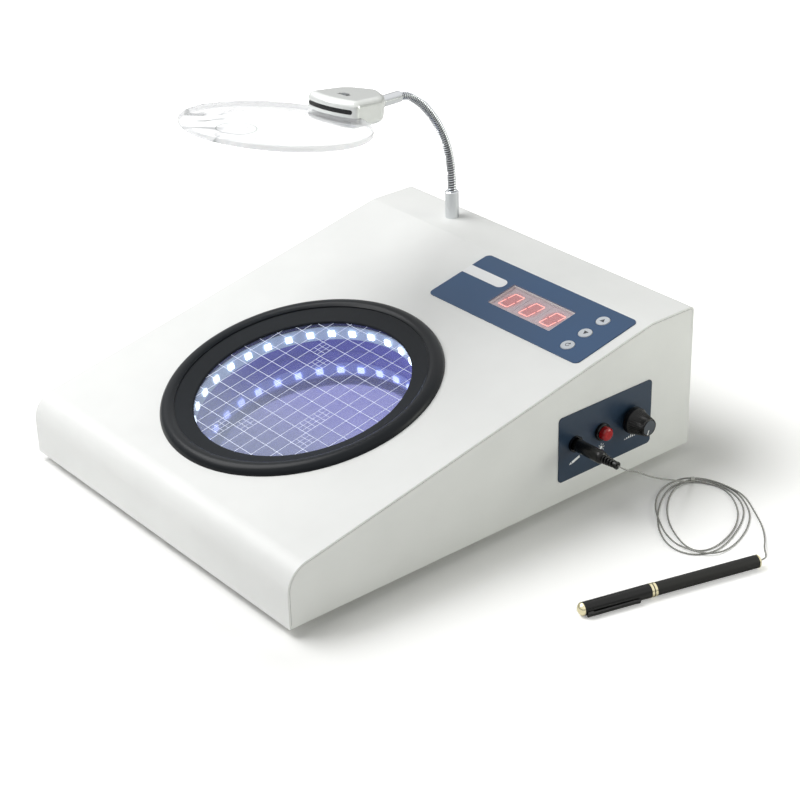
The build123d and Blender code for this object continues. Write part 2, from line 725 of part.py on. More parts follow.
with BuildPart() as knob:
    with BuildSketch(at_control(KNOB_Y, knob_in)):
        Circle(KNOB_R)
    with BuildSketch(at_control(KNOB_Y, knob_in + KNOB_SKIRT)):
        Circle(KNOB_SKIRT_R)
    with BuildSketch(at_control(KNOB_Y, knob_in + KNOB_L)):
        Circle(KNOB_TIP_R)
    loft(ruled=True)
    fillet(knob.faces().sort_by(Axis.X)[-1].edges(), radius=KNOB_ROUND)
    with BuildSketch(at_control(KNOB_Y, knob_in)):
        Circle(SHAFT_R)
    extrude(amount=SHAFT_OUT, mode=Mode.SUBTRACT)

# ================================================================ rear connectors
connector_z = FOOT_H + CONNECTOR_Z
connector_out = panel_y + CONNECTOR_T
socket_z = connector_z + SOCKET_RISE
drawer_z = connector_z - DRAWER_DROP
drawer_gap = 2 * GAP
with BuildPart() as power_inlet:
    with BuildSketch(facing_back(INLET_X, panel_y, connector_z)):
        RectangleRounded(*INLET_FACE, CORNERS["inlet"])
    extrude(amount=CONNECTOR_T)
    with BuildSketch(facing_back(INLET_X, panel_y, connector_z)):
        Rectangle(INLET_HOLE[0] - 2 * FIT, INLET_HOLE[1] - 2 * FIT)
    extrude(amount=-INLET_DEPTH)
    with BuildSketch(facing_back(INLET_X, connector_out, socket_z)):
        RectangleRounded(*SOCKET, CORNERS["socket"])
    extrude(amount=-SOCKET_DEPTH, mode=Mode.SUBTRACT)
    with BuildSketch(facing_back(INLET_X, connector_out, drawer_z)):
        Rectangle(*DRAWER)
    extrude(amount=-(DRAWER_L + DRAWER_STOP), mode=Mode.SUBTRACT)
    with BuildSketch(facing_back(INLET_X, connector_out - SOCKET_DEPTH, socket_z)):
        with Locations(*BLADES_AT):
            Rectangle(*BLADE)
    extrude(amount=BLADE_L)

with BuildPart() as fuse_drawer:
    with BuildSketch(facing_back(INLET_X, connector_out, drawer_z)):
        Rectangle(DRAWER[0] - drawer_gap, DRAWER[1] - drawer_gap)
    extrude(amount=-DRAWER_L)
    with BuildSketch(facing_back(INLET_X, connector_out, drawer_z)):
        Rectangle(*DRAWER_GRIP[:2])
    extrude(amount=DRAWER_GRIP[2])

with BuildPart() as rocker_body:
    with BuildSketch(facing_back(ROCKER_X, panel_y, connector_z)):
        RectangleRounded(*ROCKER_FACE, CORNERS["rocker"])
    extrude(amount=CONNECTOR_T)
    with BuildSketch(facing_back(ROCKER_X, panel_y, connector_z)):
        Rectangle(ROCKER_HOLE[0] - 2 * FIT, ROCKER_HOLE[1] - 2 * FIT)
    extrude(amount=-ROCKER_DEPTH)
    with BuildSketch(facing_back(ROCKER_X, connector_out, connector_z)):
        Rectangle(*ROCKER_WELL)
    extrude(amount=-ROCKER_WELL_DEPTH, mode=Mode.SUBTRACT)

# The rocker's section: pointed in at its pivot, with a shallow V for its outer face.
with BuildPart() as rocker:
    with BuildSketch(facing_right(ROCKER_X, panel_y - ROCKER_SINK, connector_z)):
        with BuildLine():
            Polyline(
                (-3.0, -3.2),
                (2.6, -7.6),
                (4.6, -7.2),
                (3.6, 0),
                (ROCKER_RISE, 7.2),
                (4.0, 7.6),
                (-3.0, 3.2),
                close=True,
            )
        make_face()
    extrude(amount=ROCKER_W / 2, both=True)

# ================================================================ boards inside
board_z = FOOT_H + SHEET + STANDOFF_H
board_face = board_z + BOARD_T

with BuildPart() as standoffs:
    for board_at, board in ((MAIN_BOARD_AT, MAIN_BOARD), (SUPPLY_AT, SUPPLY_BOARD)):
        with BuildSketch(level(*board_at, FOOT_H + SHEET)):
            with GridLocations(*screw_spread(board), 2, 2):
                Circle(STANDOFF_R)
        extrude(amount=STANDOFF_H)
    with BuildSketch(on_slope(DISPLAY_BOARD_X, PANEL_S, -SHEET)):
        with GridLocations(*screw_spread(DISPLAY_BOARD), 2, 2):
            Circle(STANDOFF_R)
    extrude(amount=board_top + SHEET)

with BuildPart() as main_board:
    with BuildSketch(level(*MAIN_BOARD_AT, board_z)):
        Rectangle(*MAIN_BOARD)
    extrude(amount=BOARD_T)
    with BuildSketch(level(*MAIN_BOARD_AT, board_face)):
        with Locations(CHIP_AT):
            Rectangle(*CHIP[:2])
    extrude(amount=CHIP[2])
    with BuildSketch(level(*MAIN_BOARD_AT, board_face)):
        with Locations(BEEPER_AT):
            Circle(BEEPER_R)
        with Locations(*CAPACITORS_AT):
            Circle(CAPACITOR_R)
    extrude(amount=CAPACITOR_H)

with BuildPart() as power_supply:
    with BuildSketch(level(*SUPPLY_AT, board_z)):
        Rectangle(*SUPPLY_BOARD)
    extrude(amount=BOARD_T)
    with BuildSketch(level(*SUPPLY_AT, board_face)):
        with Locations(TRANSFORMER_AT):
            Rectangle(*TRANSFORMER[:2])
    extrude(amount=TRANSFORMER[2])
    with BuildSketch(level(*SUPPLY_AT, board_face)):
        with Locations(LARGE_CAN_AT):
            Circle(LARGE_CAN_R)
        with Locations(SMALL_CAN_AT):
            Circle(SMALL_CAN_R)
    extrude(amount=CAN_H)

# ================================================================ screws
with BuildPart() as screws:
    with BuildSketch(dish_top.offset(glass_low - WELL_WALL)):
        with PolarLocations(WELL_SCREW_R, WELL_SCREWS):
            Circle(SMALL_HEAD_R)
    extrude(amount=-SMALL_HEAD_T)
    with BuildSketch(dish_top.offset(glass_low - WELL_WALL)):
        with PolarLocations(WELL_SCREW_R, WELL_SCREWS):
            Circle(SMALL_SCREW_R)
    extrude(amount=WELL_WALL + WELL_SCREW_L)
    for face_y, spots in ((DEPTH / 2, cover_screws), (panel_y, tray_screws)):
        with BuildSketch(facing_back(0, face_y, 0)):
            with Locations(*spots):
                Circle(SCREW_HEAD_R)
        extrude(amount=SCREW_HEAD_T)
        with BuildSketch(facing_back(0, face_y, 0)):
            with Locations(*spots):
                Circle(SCREW_R)
        extrude(amount=-SCREW_L)
    with BuildSketch(level(0, 0, FOOT_RECESS)):
        with GridLocations(*foot_spread, 2, 2):
            Circle(SCREW_HEAD_R)
    extrude(amount=-SCREW_HEAD_T)
    with BuildSketch(level(0, 0, FOOT_RECESS)):
        with GridLocations(*foot_spread, 2, 2):
            Circle(SCREW_R)
    extrude(amount=FOOT_H - FOOT_RECESS + SHEET + FOOT_NUT)

# ================================================================ gooseneck
aim = radians(NECK_AIM)
forward = Vector(sin(aim), -cos(aim), 0)
up = Vector(0, 0, 1)
bend_dir = up.cross(forward)


def heading(angle):
    """Direction of the gooseneck's centreline, `angle` degrees over from upright."""
    return up * cos(radians(angle)) + forward * sin(radians(angle))


def bend_side(angle):
    """Direction from the centreline to the centre of its bend."""
    return forward * cos(radians(angle)) - up * sin(radians(angle))


neck_base = Vector(body_x + NECK_X, body_y + NECK_Y, shelf_z)
with BuildPart() as neck_foot:
    with BuildSketch(Plane(neck_base)):
        Circle(FERRULE_R)
    extrude(amount=FERRULE_H)
    chamfer(neck_foot.faces().sort_by(Axis.Z)[-1].edges(), length=FERRULE_EDGE)
    with BuildSketch(Plane(neck_base)):
        Circle(STUD_R)
    extrude(amount=-(SHEET + GAP))
    with BuildSketch(Plane(neck_base - up * (SHEET + GAP))):
        Circle(STUD_NUT_R)
    extrude(amount=-STUD_NUT_T)

links = {}
link_start = neck_base + up * FERRULE_H
link_angle = 0.0
hinge_points = []
for number, turn in enumerate(LINK_TURNS, start=1):
    bend_r = LINK_LENGTH / radians(turn)
    centre = link_start + bend_side(link_angle) * bend_r
    trim = degrees(LINK_GAP / 2 / bend_r)
    trim_in = 0.0 if number == 1 else trim
    first = centre - bend_side(link_angle + trim_in) * bend_r
    with BuildPart() as link:
        with BuildSketch(Plane(first, x_dir=bend_dir, z_dir=heading(link_angle + trim_in))):
            Circle(NECK_TUBE_R)
            Circle(NECK_BORE_R, mode=Mode.SUBTRACT)
        revolve(axis=Axis(centre, bend_dir), revolution_arc=turn - trim - trim_in)
    links[f"neck_link_{number}"] = link
    link_angle += turn
    link_start = centre - bend_side(link_angle) * bend_r
    hinge_points.append(link_start)

tip_plane = Plane(link_start + heading(link_angle) * LINK_GAP / 2, x_dir=bend_dir,
                  z_dir=heading(link_angle))

# ================================================================ magnifier
lens_aim = radians(LENS_AIM)
pitch = radians(LENS_PITCH)
tip_end = link_start + heading(link_angle) * (LINK_GAP / 2 + TIP_LENGTH)
outward = Vector(-sin(lens_aim) * cos(pitch), cos(lens_aim) * cos(pitch), -sin(pitch))
lens_up = Vector(-sin(lens_aim) * sin(pitch), cos(lens_aim) * sin(pitch), cos(pitch))
lens_centre = tip_end - outward * LENS_REACH - lens_up * LENS_DROP
lens_plane = Plane(lens_centre, x_dir=outward, z_dir=lens_up)
lens_axis = Axis(lens_centre, lens_up)
mouth = LENS_R - HEAD_BITE
head_back = LENS_REACH - COLLAR_L
collar_plane = Plane(lens_plane.from_local_coords((LENS_REACH, 0, LENS_DROP)),
                     x_dir=lens_plane.y_dir, z_dir=outward)

# Plan of the head: circles whose hull is a broad mouth over the lens, drawn in to the collar.
cheek_y = HEAD_W / 2 - HEAD_CORNER_R
back_r = COLLAR_R + COLLAR_CHEEK
head_circles = [
    ((mouth, -cheek_y), HEAD_CORNER_R),
    ((mouth, cheek_y), HEAD_CORNER_R),
    ((mouth + SHOULDER_AT, 0), SHOULDER_R),
    ((head_back - back_r, 0), back_r),
]

lens_section = Plane(lens_centre, x_dir=outward, z_dir=-lens_plane.y_dir)
dome_r = LENS_R - LENS_RIM - HEAD_BITE      # the rim stays flat where the head grips it
half_t = LENS_T / 2
dome_top = half_t + LENS_BULGE
dome_mid = dome_top - cap_drop(dome_r, LENS_BULGE)
insert_top = dome_top + INSERT_BULGE - LENS_BULGE * (INSERT_AT / dome_r) ** 2
insert_mid = insert_top - cap_drop(INSERT_R, insert_top - half_t)
insert_centre = lens_plane.from_local_coords((-INSERT_AT, 0, 0))
insert_section = Plane(insert_centre, x_dir=outward, z_dir=-lens_plane.y_dir)
# The gooseneck's tip ends in the plane of the head's collar.
with BuildPart() as neck_tip:
    with BuildSketch(tip_plane):
        Circle(TIP_R)
    extrude(amount=1.1 * TIP_LENGTH)
    split(bisect_by=collar_plane, keep=Keep.TOP)
    tip_start = neck_tip.faces().sort_by(Axis(tip_plane.origin, tip_plane.z_dir))[0]
    chamfer(tip_start.edges(), length=TIP_EDGE)

with BuildPart() as lens:
    with BuildSketch(lens_section):
        with BuildLine():
            ThreePointArc((0, dome_top), (dome_r / 2, dome_mid), (dome_r, half_t))
            Polyline(
                (dome_r, half_t),
                (LENS_R - LENS_EDGE, half_t),
                (LENS_R, half_t - LENS_EDGE),
                (LENS_R, LENS_EDGE - half_t),
                (LENS_R - LENS_EDGE, -half_t),
                (dome_r, -half_t),
            )
            ThreePointArc((dome_r, -half_t), (dome_r / 2, -dome_mid), (0, -dome_top))
            Line((0, -dome_top), (0, dome_top))
        make_face()
    revolve(axis=lens_axis)
    with BuildSketch(insert_section):
        with BuildLine():
            ThreePointArc((0, insert_top), (INSERT_R / 2, insert_mid), (INSERT_R, half_t))
            Line((INSERT_R, half_t), (INSERT_R, -half_t))
            ThreePointArc((INSERT_R, -half_t), (INSERT_R / 2, -insert_mid), (0, -insert_top))
            Line((0, -insert_top), (0, insert_top))
        make_face()
    revolve(axis=Axis(insert_centre, lens_up))

lamp_z = half_t + LAMP_RISE + LAMP_H / 2
switch_x = mouth + SWITCH_AT
lamp_back = HEAD_WALL + 1.0
mouth_bow = HEAD_FRONT_R - sqrt(HEAD_FRONT_R**2 - (LAMP_W / 2) ** 2)
switch_w = SWITCH_SLOT[1] - 2 * GAP
switch_l = SWITCH_SLOT[0] - SWITCH_TRAVEL - 2 * GAP


def draw_head_plan(inset):
    """Draws the head's plan, `inset` inside its skin; its mouth's two corners are left sharp."""
    for spot, radius in head_circles:
        with Locations(spot):
            Circle(radius - inset)
    make_hull()
    with Locations((mouth + HEAD_FRONT_R, 0)):
        Circle(HEAD_FRONT_R - inset, mode=Mode.INTERSECT)


def mouth_plane(back):
    """Plane across the head's mouth, on the lamp strip's middle and `back` behind the mouth."""
    middle = lens_plane.from_local_coords((mouth + back, 0, lamp_z))
    return Plane(middle, x_dir=lens_plane.y_dir, z_dir=outward)


with BuildPart() as head_upper:
    with BuildSketch(lens_plane):
        draw_head_plan(0)
        fillet(vertices().sort_by(Axis.X)[:2], radius=HEAD_CORNER_R)
    extrude(amount=HEAD_TOP)
    fillet(head_upper.faces().sort_by(lens_axis)[-1].edges(), radius=HEAD_TOP_ROUND)
    with BuildSketch(collar_plane):
        Circle(COLLAR_R)
    extrude(amount=-COLLAR_L - COLLAR_ROOT)
    with BuildSketch(lens_plane):
        Circle(LENS_R + LENS_SLACK[0])
    extrude(amount=half_t + LENS_SLACK[1], mode=Mode.SUBTRACT)
    with BuildSketch(lens_plane):
        draw_head_plan(HEAD_SKIN)
    extrude(amount=HEAD_TOP - HEAD_WALL - 1.0, mode=Mode.SUBTRACT)
    with BuildSketch(mouth_plane(0)):
        RectangleRounded(LAMP_W, LAMP_H, LAMP_CORNER)
    extrude(amount=HEAD_SKIN + HEAD_WALL + mouth_bow, mode=Mode.SUBTRACT)
    with BuildSketch(lens_plane.offset(HEAD_TOP)):
        with Locations((switch_x, 0)):
            RectangleRounded(SWITCH_SLOT[1], SWITCH_SLOT[0], SWITCH_CORNER)
    extrude(amount=-HEAD_WALL - 1.5, mode=Mode.SUBTRACT)

with BuildPart() as head_lower:
    with BuildSketch(lens_plane):
        draw_head_plan(0)
        fillet(vertices().sort_by(Axis.X)[:2], radius=HEAD_CORNER_R)
    extrude(amount=-HEAD_LOW)
    fillet(head_lower.faces().sort_by(lens_axis)[0].edges(), radius=HEAD_LOW_ROUND)
    with BuildSketch(collar_plane):
        Circle(COLLAR_R)
    extrude(amount=-COLLAR_L - COLLAR_ROOT, mode=Mode.SUBTRACT)
    with BuildSketch(lens_plane):
        Circle(LENS_R + LENS_SLACK[0])
    extrude(amount=-half_t - LENS_SLACK[1], mode=Mode.SUBTRACT)

with BuildPart() as lamp_window:
    with BuildSketch(mouth_plane(LAMP_IN)):
        RectangleRounded(LAMP_W - 2 * FIT, LAMP_H - 2 * FIT, LAMP_CORNER - FIT)
    extrude(amount=lamp_back + mouth_bow)
    with BuildSketch(lens_plane):
        with Locations((mouth + HEAD_FRONT_R, 0)):
            Circle(HEAD_FRONT_R - LAMP_IN)
    extrude(amount=HEAD_TOP, mode=Mode.INTERSECT)

with BuildPart() as head_switch:
    with BuildSketch(lens_plane.offset(HEAD_TOP - HEAD_WALL)):
        with Locations((switch_x, -SWITCH_TRAVEL / 2)):
            RectangleRounded(switch_w, switch_l, SWITCH_CORNER - 0.2)
    extrude(amount=HEAD_WALL + SWITCH_PROUD)

# ================================================================ pen
pen_turn = radians(PEN_AIM)
pen_dir = Vector(-sin(pen_turn), -cos(pen_turn), 0)
pen_rear = Vector(body_x + PEN_REAR[0], body_y + PEN_REAR[1], PEN_CAP_R)
pen_axis = Axis(pen_rear, pen_dir)
pen_section = Plane(pen_rear, x_dir=pen_dir, z_dir=pen_dir.cross(up))
mouth_at = PEN_LENGTH - PEN_CAP_L           # where the cap's mouth meets the barrel
nose_start = mouth_at + PEN_NOSE_L
nose_end = nose_start + PEN_CONE_L
bore_end = mouth_at + PEN_BORE_WALL
cap_in_r = PEN_NOSE_R + FIT
tip_r, tip_shoulder, tip_reach, tip_point_r = TIP_POINT
tip_rear = bore_end + PEN_TIP_TRAVEL + GAP

with BuildPart() as pen_barrel:
    with BuildSketch(pen_section):
        with BuildLine():
            Polyline(
                (PEN_RING_L, 0),
                (PEN_RING_L, PEN_R - PEN_STEP),
                (PEN_RING_L + 1.0, PEN_R),
                (mouth_at, PEN_R),
                (mouth_at, PEN_NOSE_R),
                (nose_start, PEN_NOSE_R),
                (nose_end, PEN_POINT_R),
                (nose_end, PEN_BORE_R),
                (bore_end, PEN_BORE_R),
                (bore_end, 0),
                close=True,
            )
        make_face()
    revolve(axis=pen_axis)

with BuildPart() as barrel_ring:
    with BuildSketch(pen_section):
        with BuildLine():
            Polyline(
                (0, 0),
                (0, PEN_R - PEN_REAR_CHAMFER),
                (PEN_REAR_CHAMFER, PEN_R),
                (PEN_RING_L, PEN_R),
                (PEN_RING_L, 0),
                close=True,
            )
        make_face()
    revolve(axis=pen_axis)

with BuildPart() as pen_tip:
    with BuildSketch(pen_section):
        with BuildLine():
            Polyline(
                (tip_rear, 0),
                (tip_rear, tip_r),
                (nose_end + tip_shoulder, tip_r),
                (nose_end + tip_reach, tip_point_r),
                (nose_end + tip_reach, 0),
                close=True,
            )
        make_face()
    revolve(axis=pen_axis)

dome_at = PEN_LENGTH - PEN_DOME_L
ring_at = mouth_at + GAP + 2 * PEN_RING_L + PEN_RING_GAP
inlay_r = PEN_CAP_R - PEN_INLAY
with BuildPart() as pen_cap:
    with BuildSketch(pen_section):
        with BuildLine():
            Polyline(
                (mouth_at + GAP, cap_in_r),
                (mouth_at + GAP, inlay_r),
                (ring_at, inlay_r),
                (ring_at, PEN_CAP_R),
                (dome_at, inlay_r),
                (dome_at, 0),
                (dome_at - PEN_CAP_END, 0),
                (dome_at - PEN_CAP_END, cap_in_r),
                close=True,
            )
        make_face()
    revolve(axis=pen_axis)

dome_base = dome_at + PEN_DOME_BAND
dome_mid_at = PEN_LENGTH - cap_drop(inlay_r, PEN_LENGTH - dome_base)
with BuildPart() as cap_trims:
    with BuildSketch(pen_section):
        with BuildLine():
            Polyline((dome_at, 0), (dome_at, inlay_r), (dome_base, inlay_r))
            ThreePointArc((dome_base, inlay_r), (dome_mid_at, inlay_r / 2), (PEN_LENGTH, 0))
            Line((PEN_LENGTH, 0), (dome_at, 0))
        make_face()
    revolve(axis=pen_axis)
    for ring_low in (mouth_at + GAP, mouth_at + GAP + PEN_RING_L + PEN_RING_GAP):
        with BuildSketch(pen_section):
            with BuildLine():
                Polyline(
                    (ring_low, inlay_r),
                    (ring_low, PEN_CAP_R),
                    (ring_low + PEN_RING_L, PEN_CAP_R),
                    (ring_low + PEN_RING_L, inlay_r),
                    close=True,
                )
            make_face()
        revolve(axis=pen_axis)

clip_root = dome_at - CLIP_SEAT
clip_end = clip_root - CLIP_L
clip_low = PEN_CAP_R - 0.2                  # the clip's foot, let into the cap
clip_roll = radians(CLIP_ROLL)
clip_out = up.cross(pen_dir) * cos(clip_roll) - up * sin(clip_roll)
with BuildPart() as pen_clip:
    with BuildSketch(Plane(pen_rear, x_dir=pen_dir, z_dir=pen_dir.cross(clip_out))):
        with BuildLine():
            Polyline(
                (clip_root, clip_low),
                (clip_root, PEN_CAP_R + CLIP_LIFT + CLIP_T),
                (clip_end + CLIP_TOE, PEN_CAP_R + GAP + CLIP_T),
                (clip_end, PEN_CAP_R + 2 * GAP + CLIP_T),
                (clip_end, PEN_CAP_R + 3 * GAP),
                (clip_end + CLIP_TOE, PEN_CAP_R + GAP),
                (clip_root - CLIP_FOOT, PEN_CAP_R + CLIP_LIFT),
                (clip_root - CLIP_FOOT, clip_low),
                close=True,
            )
        make_face()
    extrude(amount=CLIP_W / 2, both=True)

# ================================================================ plug and cord
plug_in = panel_out + NUT_T + PLUG_GAP
with BuildPart() as plug_pin:
    with BuildSketch(at_control(JACK_Y, plug_in)):
        Circle(PIN_R)
    extrude(amount=-PIN_L)
    chamfer(plug_pin.faces().sort_by(Axis.X)[0].edges(), length=PIN_EDGE)

plug_section = Plane(origin=at_control(JACK_Y, plug_in).origin, x_dir=(1, 0, 0), z_dir=(0, -1, 0))
cord_exit = PLUG_L + BOOT_L
with BuildPart() as plug_handle:
    with BuildSketch(plug_section):
        with BuildLine():
            Polyline(
                (0, 0),
                (0, PLUG_R - PLUG_EDGE),
                (PLUG_EDGE, PLUG_R),
                (PLUG_L - 2.0, PLUG_R),
                (PLUG_L, BOOT_R),
                (cord_exit, BOOT_TIP_R),
                (cord_exit, 0),
                close=True,
            )
        make_face()
    revolve(axis=Axis(plug_section.origin, (1, 0, 0)))


def spot(x, y, z):
    """A point of the cord; x and y from the housing's middle, z above the table."""
    return Vector(body_x + x, body_y + y, z)


def cord_route(points, label):
    """Straight runs through the points, joined by the widest tangent arcs that fit."""
    radii = []
    for before, here, after in zip(points, points[1:], points[2:]):
        run_in, run_out = here - before, after - here
        half_turn = radians(run_in.get_angle(run_out)) / 2
        radii.append(0.45 * min(run_in.length, run_out.length) / tan(half_turn))
    print(label, "bend radii", [round(radius, 1) for radius in radii])
    return FilletPolyline(*points, radius=radii)


plug_end = at_control(JACK_Y, plug_in).origin + Vector(cord_exit, 0, 0)
lead_points = [
    plug_end,
    plug_end + Vector(8.0, 0, 0),
    spot(197.5, 67.0, 45.0),
    spot(198.0, 78.0, 37.5),
    spot(194.5, 91.0, 29.5),
    spot(189.5, 106.0, 20.0),
    spot(184.5, 122.5, 9.5),
    spot(182.0, 133.0, 2.2),
    spot(184.5, 138.0, 1.4),
]
tail_points = [
    spot(214.0, 149.0, 1.2),
    spot(231.0, 142.6, 0.7),
    spot(247.0, 132.8, 0.7),
    spot(258.5, 122.0, 1.2),
    spot(267.5, 110.8, 2.8),
    spot(274.5, 104.5, 4.2),
    pen_rear - pen_dir * 5.0,
    pen_rear,
]

with BuildPart() as cord_lead:
    with BuildLine():
        lead = cord_route(lead_points, "lead")
    with BuildSketch(Plane(lead @ 0, z_dir=lead % 0)):
        Circle(CORD_R)
    sweep()

with BuildPart() as cord_tail:
    with BuildLine():
        tail = cord_route(tail_points, "tail")
    with BuildSketch(Plane(tail @ 0, z_dir=tail % 0)):
        Circle(CORD_R)
    sweep()

with BuildPart() as cord_coil:
    with BuildSketch(level(*COIL_AT, 0)):
        Ellipse(*COIL_OUT, rotation=COIL_TURN)
        Ellipse(*[half - COIL_BAND for half in COIL_OUT], rotation=COIL_TURN, mode=Mode.SUBTRACT)
    extrude(amount=COIL_H)

# ================================================================ write the pieces
pieces = {
    "top_cover": top_cover,
    "chassis_tray": chassis_tray,
    "back_panel": back_panel,
    "feet": feet,
    "screws": screws,
    "standoffs": standoffs,
    "dish_ring": dish_ring,
    "grid_glass": grid_glass,
    "light_well": light_well,
    "led_strip": led_strip,
    "leds": leds,
    "mirror_plate": mirror_plate,
    "display_overlay": display_overlay,
    "display_window": display_window,
    "display_board": display_board,
    "digit_modules": digit_modules,
    "key_switches": key_switches,
    **keys,
    "side_overlay": side_overlay,
    "jack_socket": jack_socket,
    "mounting_nuts": mounting_nuts,
    "button_body": button_body,
    "button_cap": button_cap,
    "pot_body": pot_body,
    "pot_shaft": pot_shaft,
    "knob": knob,
    "power_inlet": power_inlet,
    "fuse_drawer": fuse_drawer,
    "rocker_body": rocker_body,
    "rocker": rocker,
    "power_supply": power_supply,
    "main_board": main_board,
    "neck_foot": neck_foot,
    **links,
    "neck_tip": neck_tip,
    "head_upper": head_upper,
    "head_lower": head_lower,
    "lens": lens,
    "lamp_window": lamp_window,
    "head_switch": head_switch,
    "plug_handle": plug_handle,
    "plug_pin": plug_pin,
    "cord_lead": cord_lead,
    "cord_coil": cord_coil,
    "cord_tail": cord_tail,
    "pen_barrel": pen_barrel,
    "barrel_ring": barrel_ring,
    "pen_cap": pen_cap,
    "cap_trims": cap_trims,
    "pen_clip": pen_clip,
    "pen_tip": pen_tip,
}
for name, piece in pieces.items():
    piece.part.label = name
    export_step(piece.part, f"parts/{name}.step")

# Places that the moving pieces turn and slide about, in the same frame.
print("hinges", [tuple(round(v, 2) for v in point) for point in hinge_points])
print("bend axis", tuple(round(v, 5) for v in bend_dir))
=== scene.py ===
from math import atan2, cos, pi, radians, sin, sqrt, tan

import bmesh
import bpy
from bpy.props import FloatProperty, FloatVectorProperty, IntProperty, PointerProperty
from mathutils import Color, Matrix, Vector


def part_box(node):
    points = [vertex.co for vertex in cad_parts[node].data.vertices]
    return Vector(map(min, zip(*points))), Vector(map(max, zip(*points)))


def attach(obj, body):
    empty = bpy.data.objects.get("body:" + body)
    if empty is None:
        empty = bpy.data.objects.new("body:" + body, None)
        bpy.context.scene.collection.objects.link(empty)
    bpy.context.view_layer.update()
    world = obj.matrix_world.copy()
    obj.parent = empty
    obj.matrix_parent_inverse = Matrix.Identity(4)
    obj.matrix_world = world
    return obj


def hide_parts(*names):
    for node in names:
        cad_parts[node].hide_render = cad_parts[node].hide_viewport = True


bl_info = {
    "name": "Colony Counter",
    "version": (1, 0, 0),
    "blender": (4, 5, 0),
    "location": "View3D > Sidebar > Counter",
    "description": "Finishes a bench colony counter with its lit dish well, lens, pen and lead",
    "category": "Object",
}

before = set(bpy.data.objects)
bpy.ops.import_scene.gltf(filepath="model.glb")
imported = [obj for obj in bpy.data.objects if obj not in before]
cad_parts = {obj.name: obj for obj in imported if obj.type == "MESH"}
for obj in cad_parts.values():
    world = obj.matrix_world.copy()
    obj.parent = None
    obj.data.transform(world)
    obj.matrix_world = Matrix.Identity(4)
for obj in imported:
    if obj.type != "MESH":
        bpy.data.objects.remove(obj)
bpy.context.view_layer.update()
MM = 0.001

# ------------------------------------------------------------------ places taken from the frame
cover_low, cover_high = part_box("top_cover")
lens_low, lens_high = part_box("lens")
foot_low, foot_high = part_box("neck_foot")
jack_low, jack_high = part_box("jack_socket")
knob_low, knob_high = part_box("knob")
plug_low, plug_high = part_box("plug_handle")
side_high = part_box("side_overlay")[1]

BODY_MID = Vector(((cover_low.x + cover_high.x) / 2, (cover_low.y + cover_high.y) / 2, 0))
SLOPE_ANGLE = radians(12.1)
FRONT_EDGE_Z = 45.3 * MM
SLOPE = Matrix.Translation((BODY_MID.x, cover_low.y, FRONT_EDGE_Z)) @ Matrix.Rotation(SLOPE_ANGLE, 4, "X")

DISH_S = 125.0 * MM     # middle of the dish, up the slope from the front edge
GLASS_DEPTH = 2.6 * MM
DISH = SLOPE @ Matrix.Translation((0, DISH_S, 0))

LENS_AIM = radians(11.3)
LENS_PITCH = radians(9.7)
LENS_R = 63.5 * MM
LENS_EDGE = 0.3 * MM
INSERT_AT = 38.0 * MM
INSERT_R = 13.0 * MM
INSERT_LINE = 0.35 * MM
# LENS_EDGE_SHADE and the STREAK values set the grey lines and streaks painted on the lens as bent and reflected light.
LENS_EDGE_SHADE = 0.42
STREAK_SIDE = (-0.63, 0.77, 0)   # the lens's end where grey streaks are painted as reflected light, in its own place
STREAK_REACH = (LENS_R * 0.42, LENS_R * 0.62)
STREAK_SHADE = 0.85
lens_out = Vector((-sin(LENS_AIM) * cos(LENS_PITCH), cos(LENS_AIM) * cos(LENS_PITCH), -sin(LENS_PITCH)))
lens_up = Vector((-sin(LENS_AIM) * sin(LENS_PITCH), cos(LENS_AIM) * sin(LENS_PITCH), cos(LENS_PITCH)))
LENS_MID = (lens_low + lens_high) / 2
LENS = Matrix.Translation(LENS_MID) @ Matrix((lens_out, lens_up.cross(lens_out), lens_up)).transposed().to_4x4()

NECK_AIM = radians(8.0)
neck_ahead = Vector((sin(NECK_AIM), -cos(NECK_AIM), 0))
neck_side = Vector((0, 0, 1)).cross(neck_ahead)
LINK_LENGTH = 13.8 * MM
LINK_TURNS = [radians(turn) for turn in (4.0, 9.5, 9.5, 8.0, 7.5, 7.0, 12.0, 29.0)]

PEN_AIM = radians(16.1)
pen_dir = Vector((-sin(PEN_AIM), -cos(PEN_AIM), 0))
PEN_REAR = Vector((BODY_MID.x + 276.7 * MM, BODY_MID.y + 95.3 * MM, 4.5 * MM))


# ------------------------------------------------------------------ settings
class StageSettings(bpy.types.PropertyGroup):
    focal_length: FloatProperty(
        name="Focal length", description="Lens of the camera on a 36 mm sensor", default=89.16, min=10, unit="CAMERA")
    azimuth: FloatProperty(
        name="Azimuth", description="Camera's bearing round the counter", default=radians(51.11), subtype="ANGLE")
    elevation: FloatProperty(
        name="Elevation", description="Camera's height above the horizon", default=radians(28.09), subtype="ANGLE")
    roll: FloatProperty(
        name="Roll", description="Camera's turn about its own line of sight", default=radians(-1.48), subtype="ANGLE")
    stand: FloatVectorProperty(
        name="Stand", description="Camera's place from the housing's middle on the table",
        default=(0.9467, -0.7290, 0.6790), subtype="TRANSLATION", unit="LENGTH")
    key_power: FloatProperty(
        name="Key light", description="Power of the large lamp overhead", default=24.5, min=0, unit="POWER")
    rear_power: FloatProperty(
        name="Rear light", description="Power of the lamp behind and to the right", default=5.2, min=0, unit="POWER")
    ambient: FloatProperty(
        name="Ambient", description="Strength of the light from all round", default=0.23, min=0)


def colour_setting(name, description, default):
    return FloatVectorProperty(
        name=name, description=description, default=default, size=3, min=0, max=1, subtype="COLOR_GAMMA")


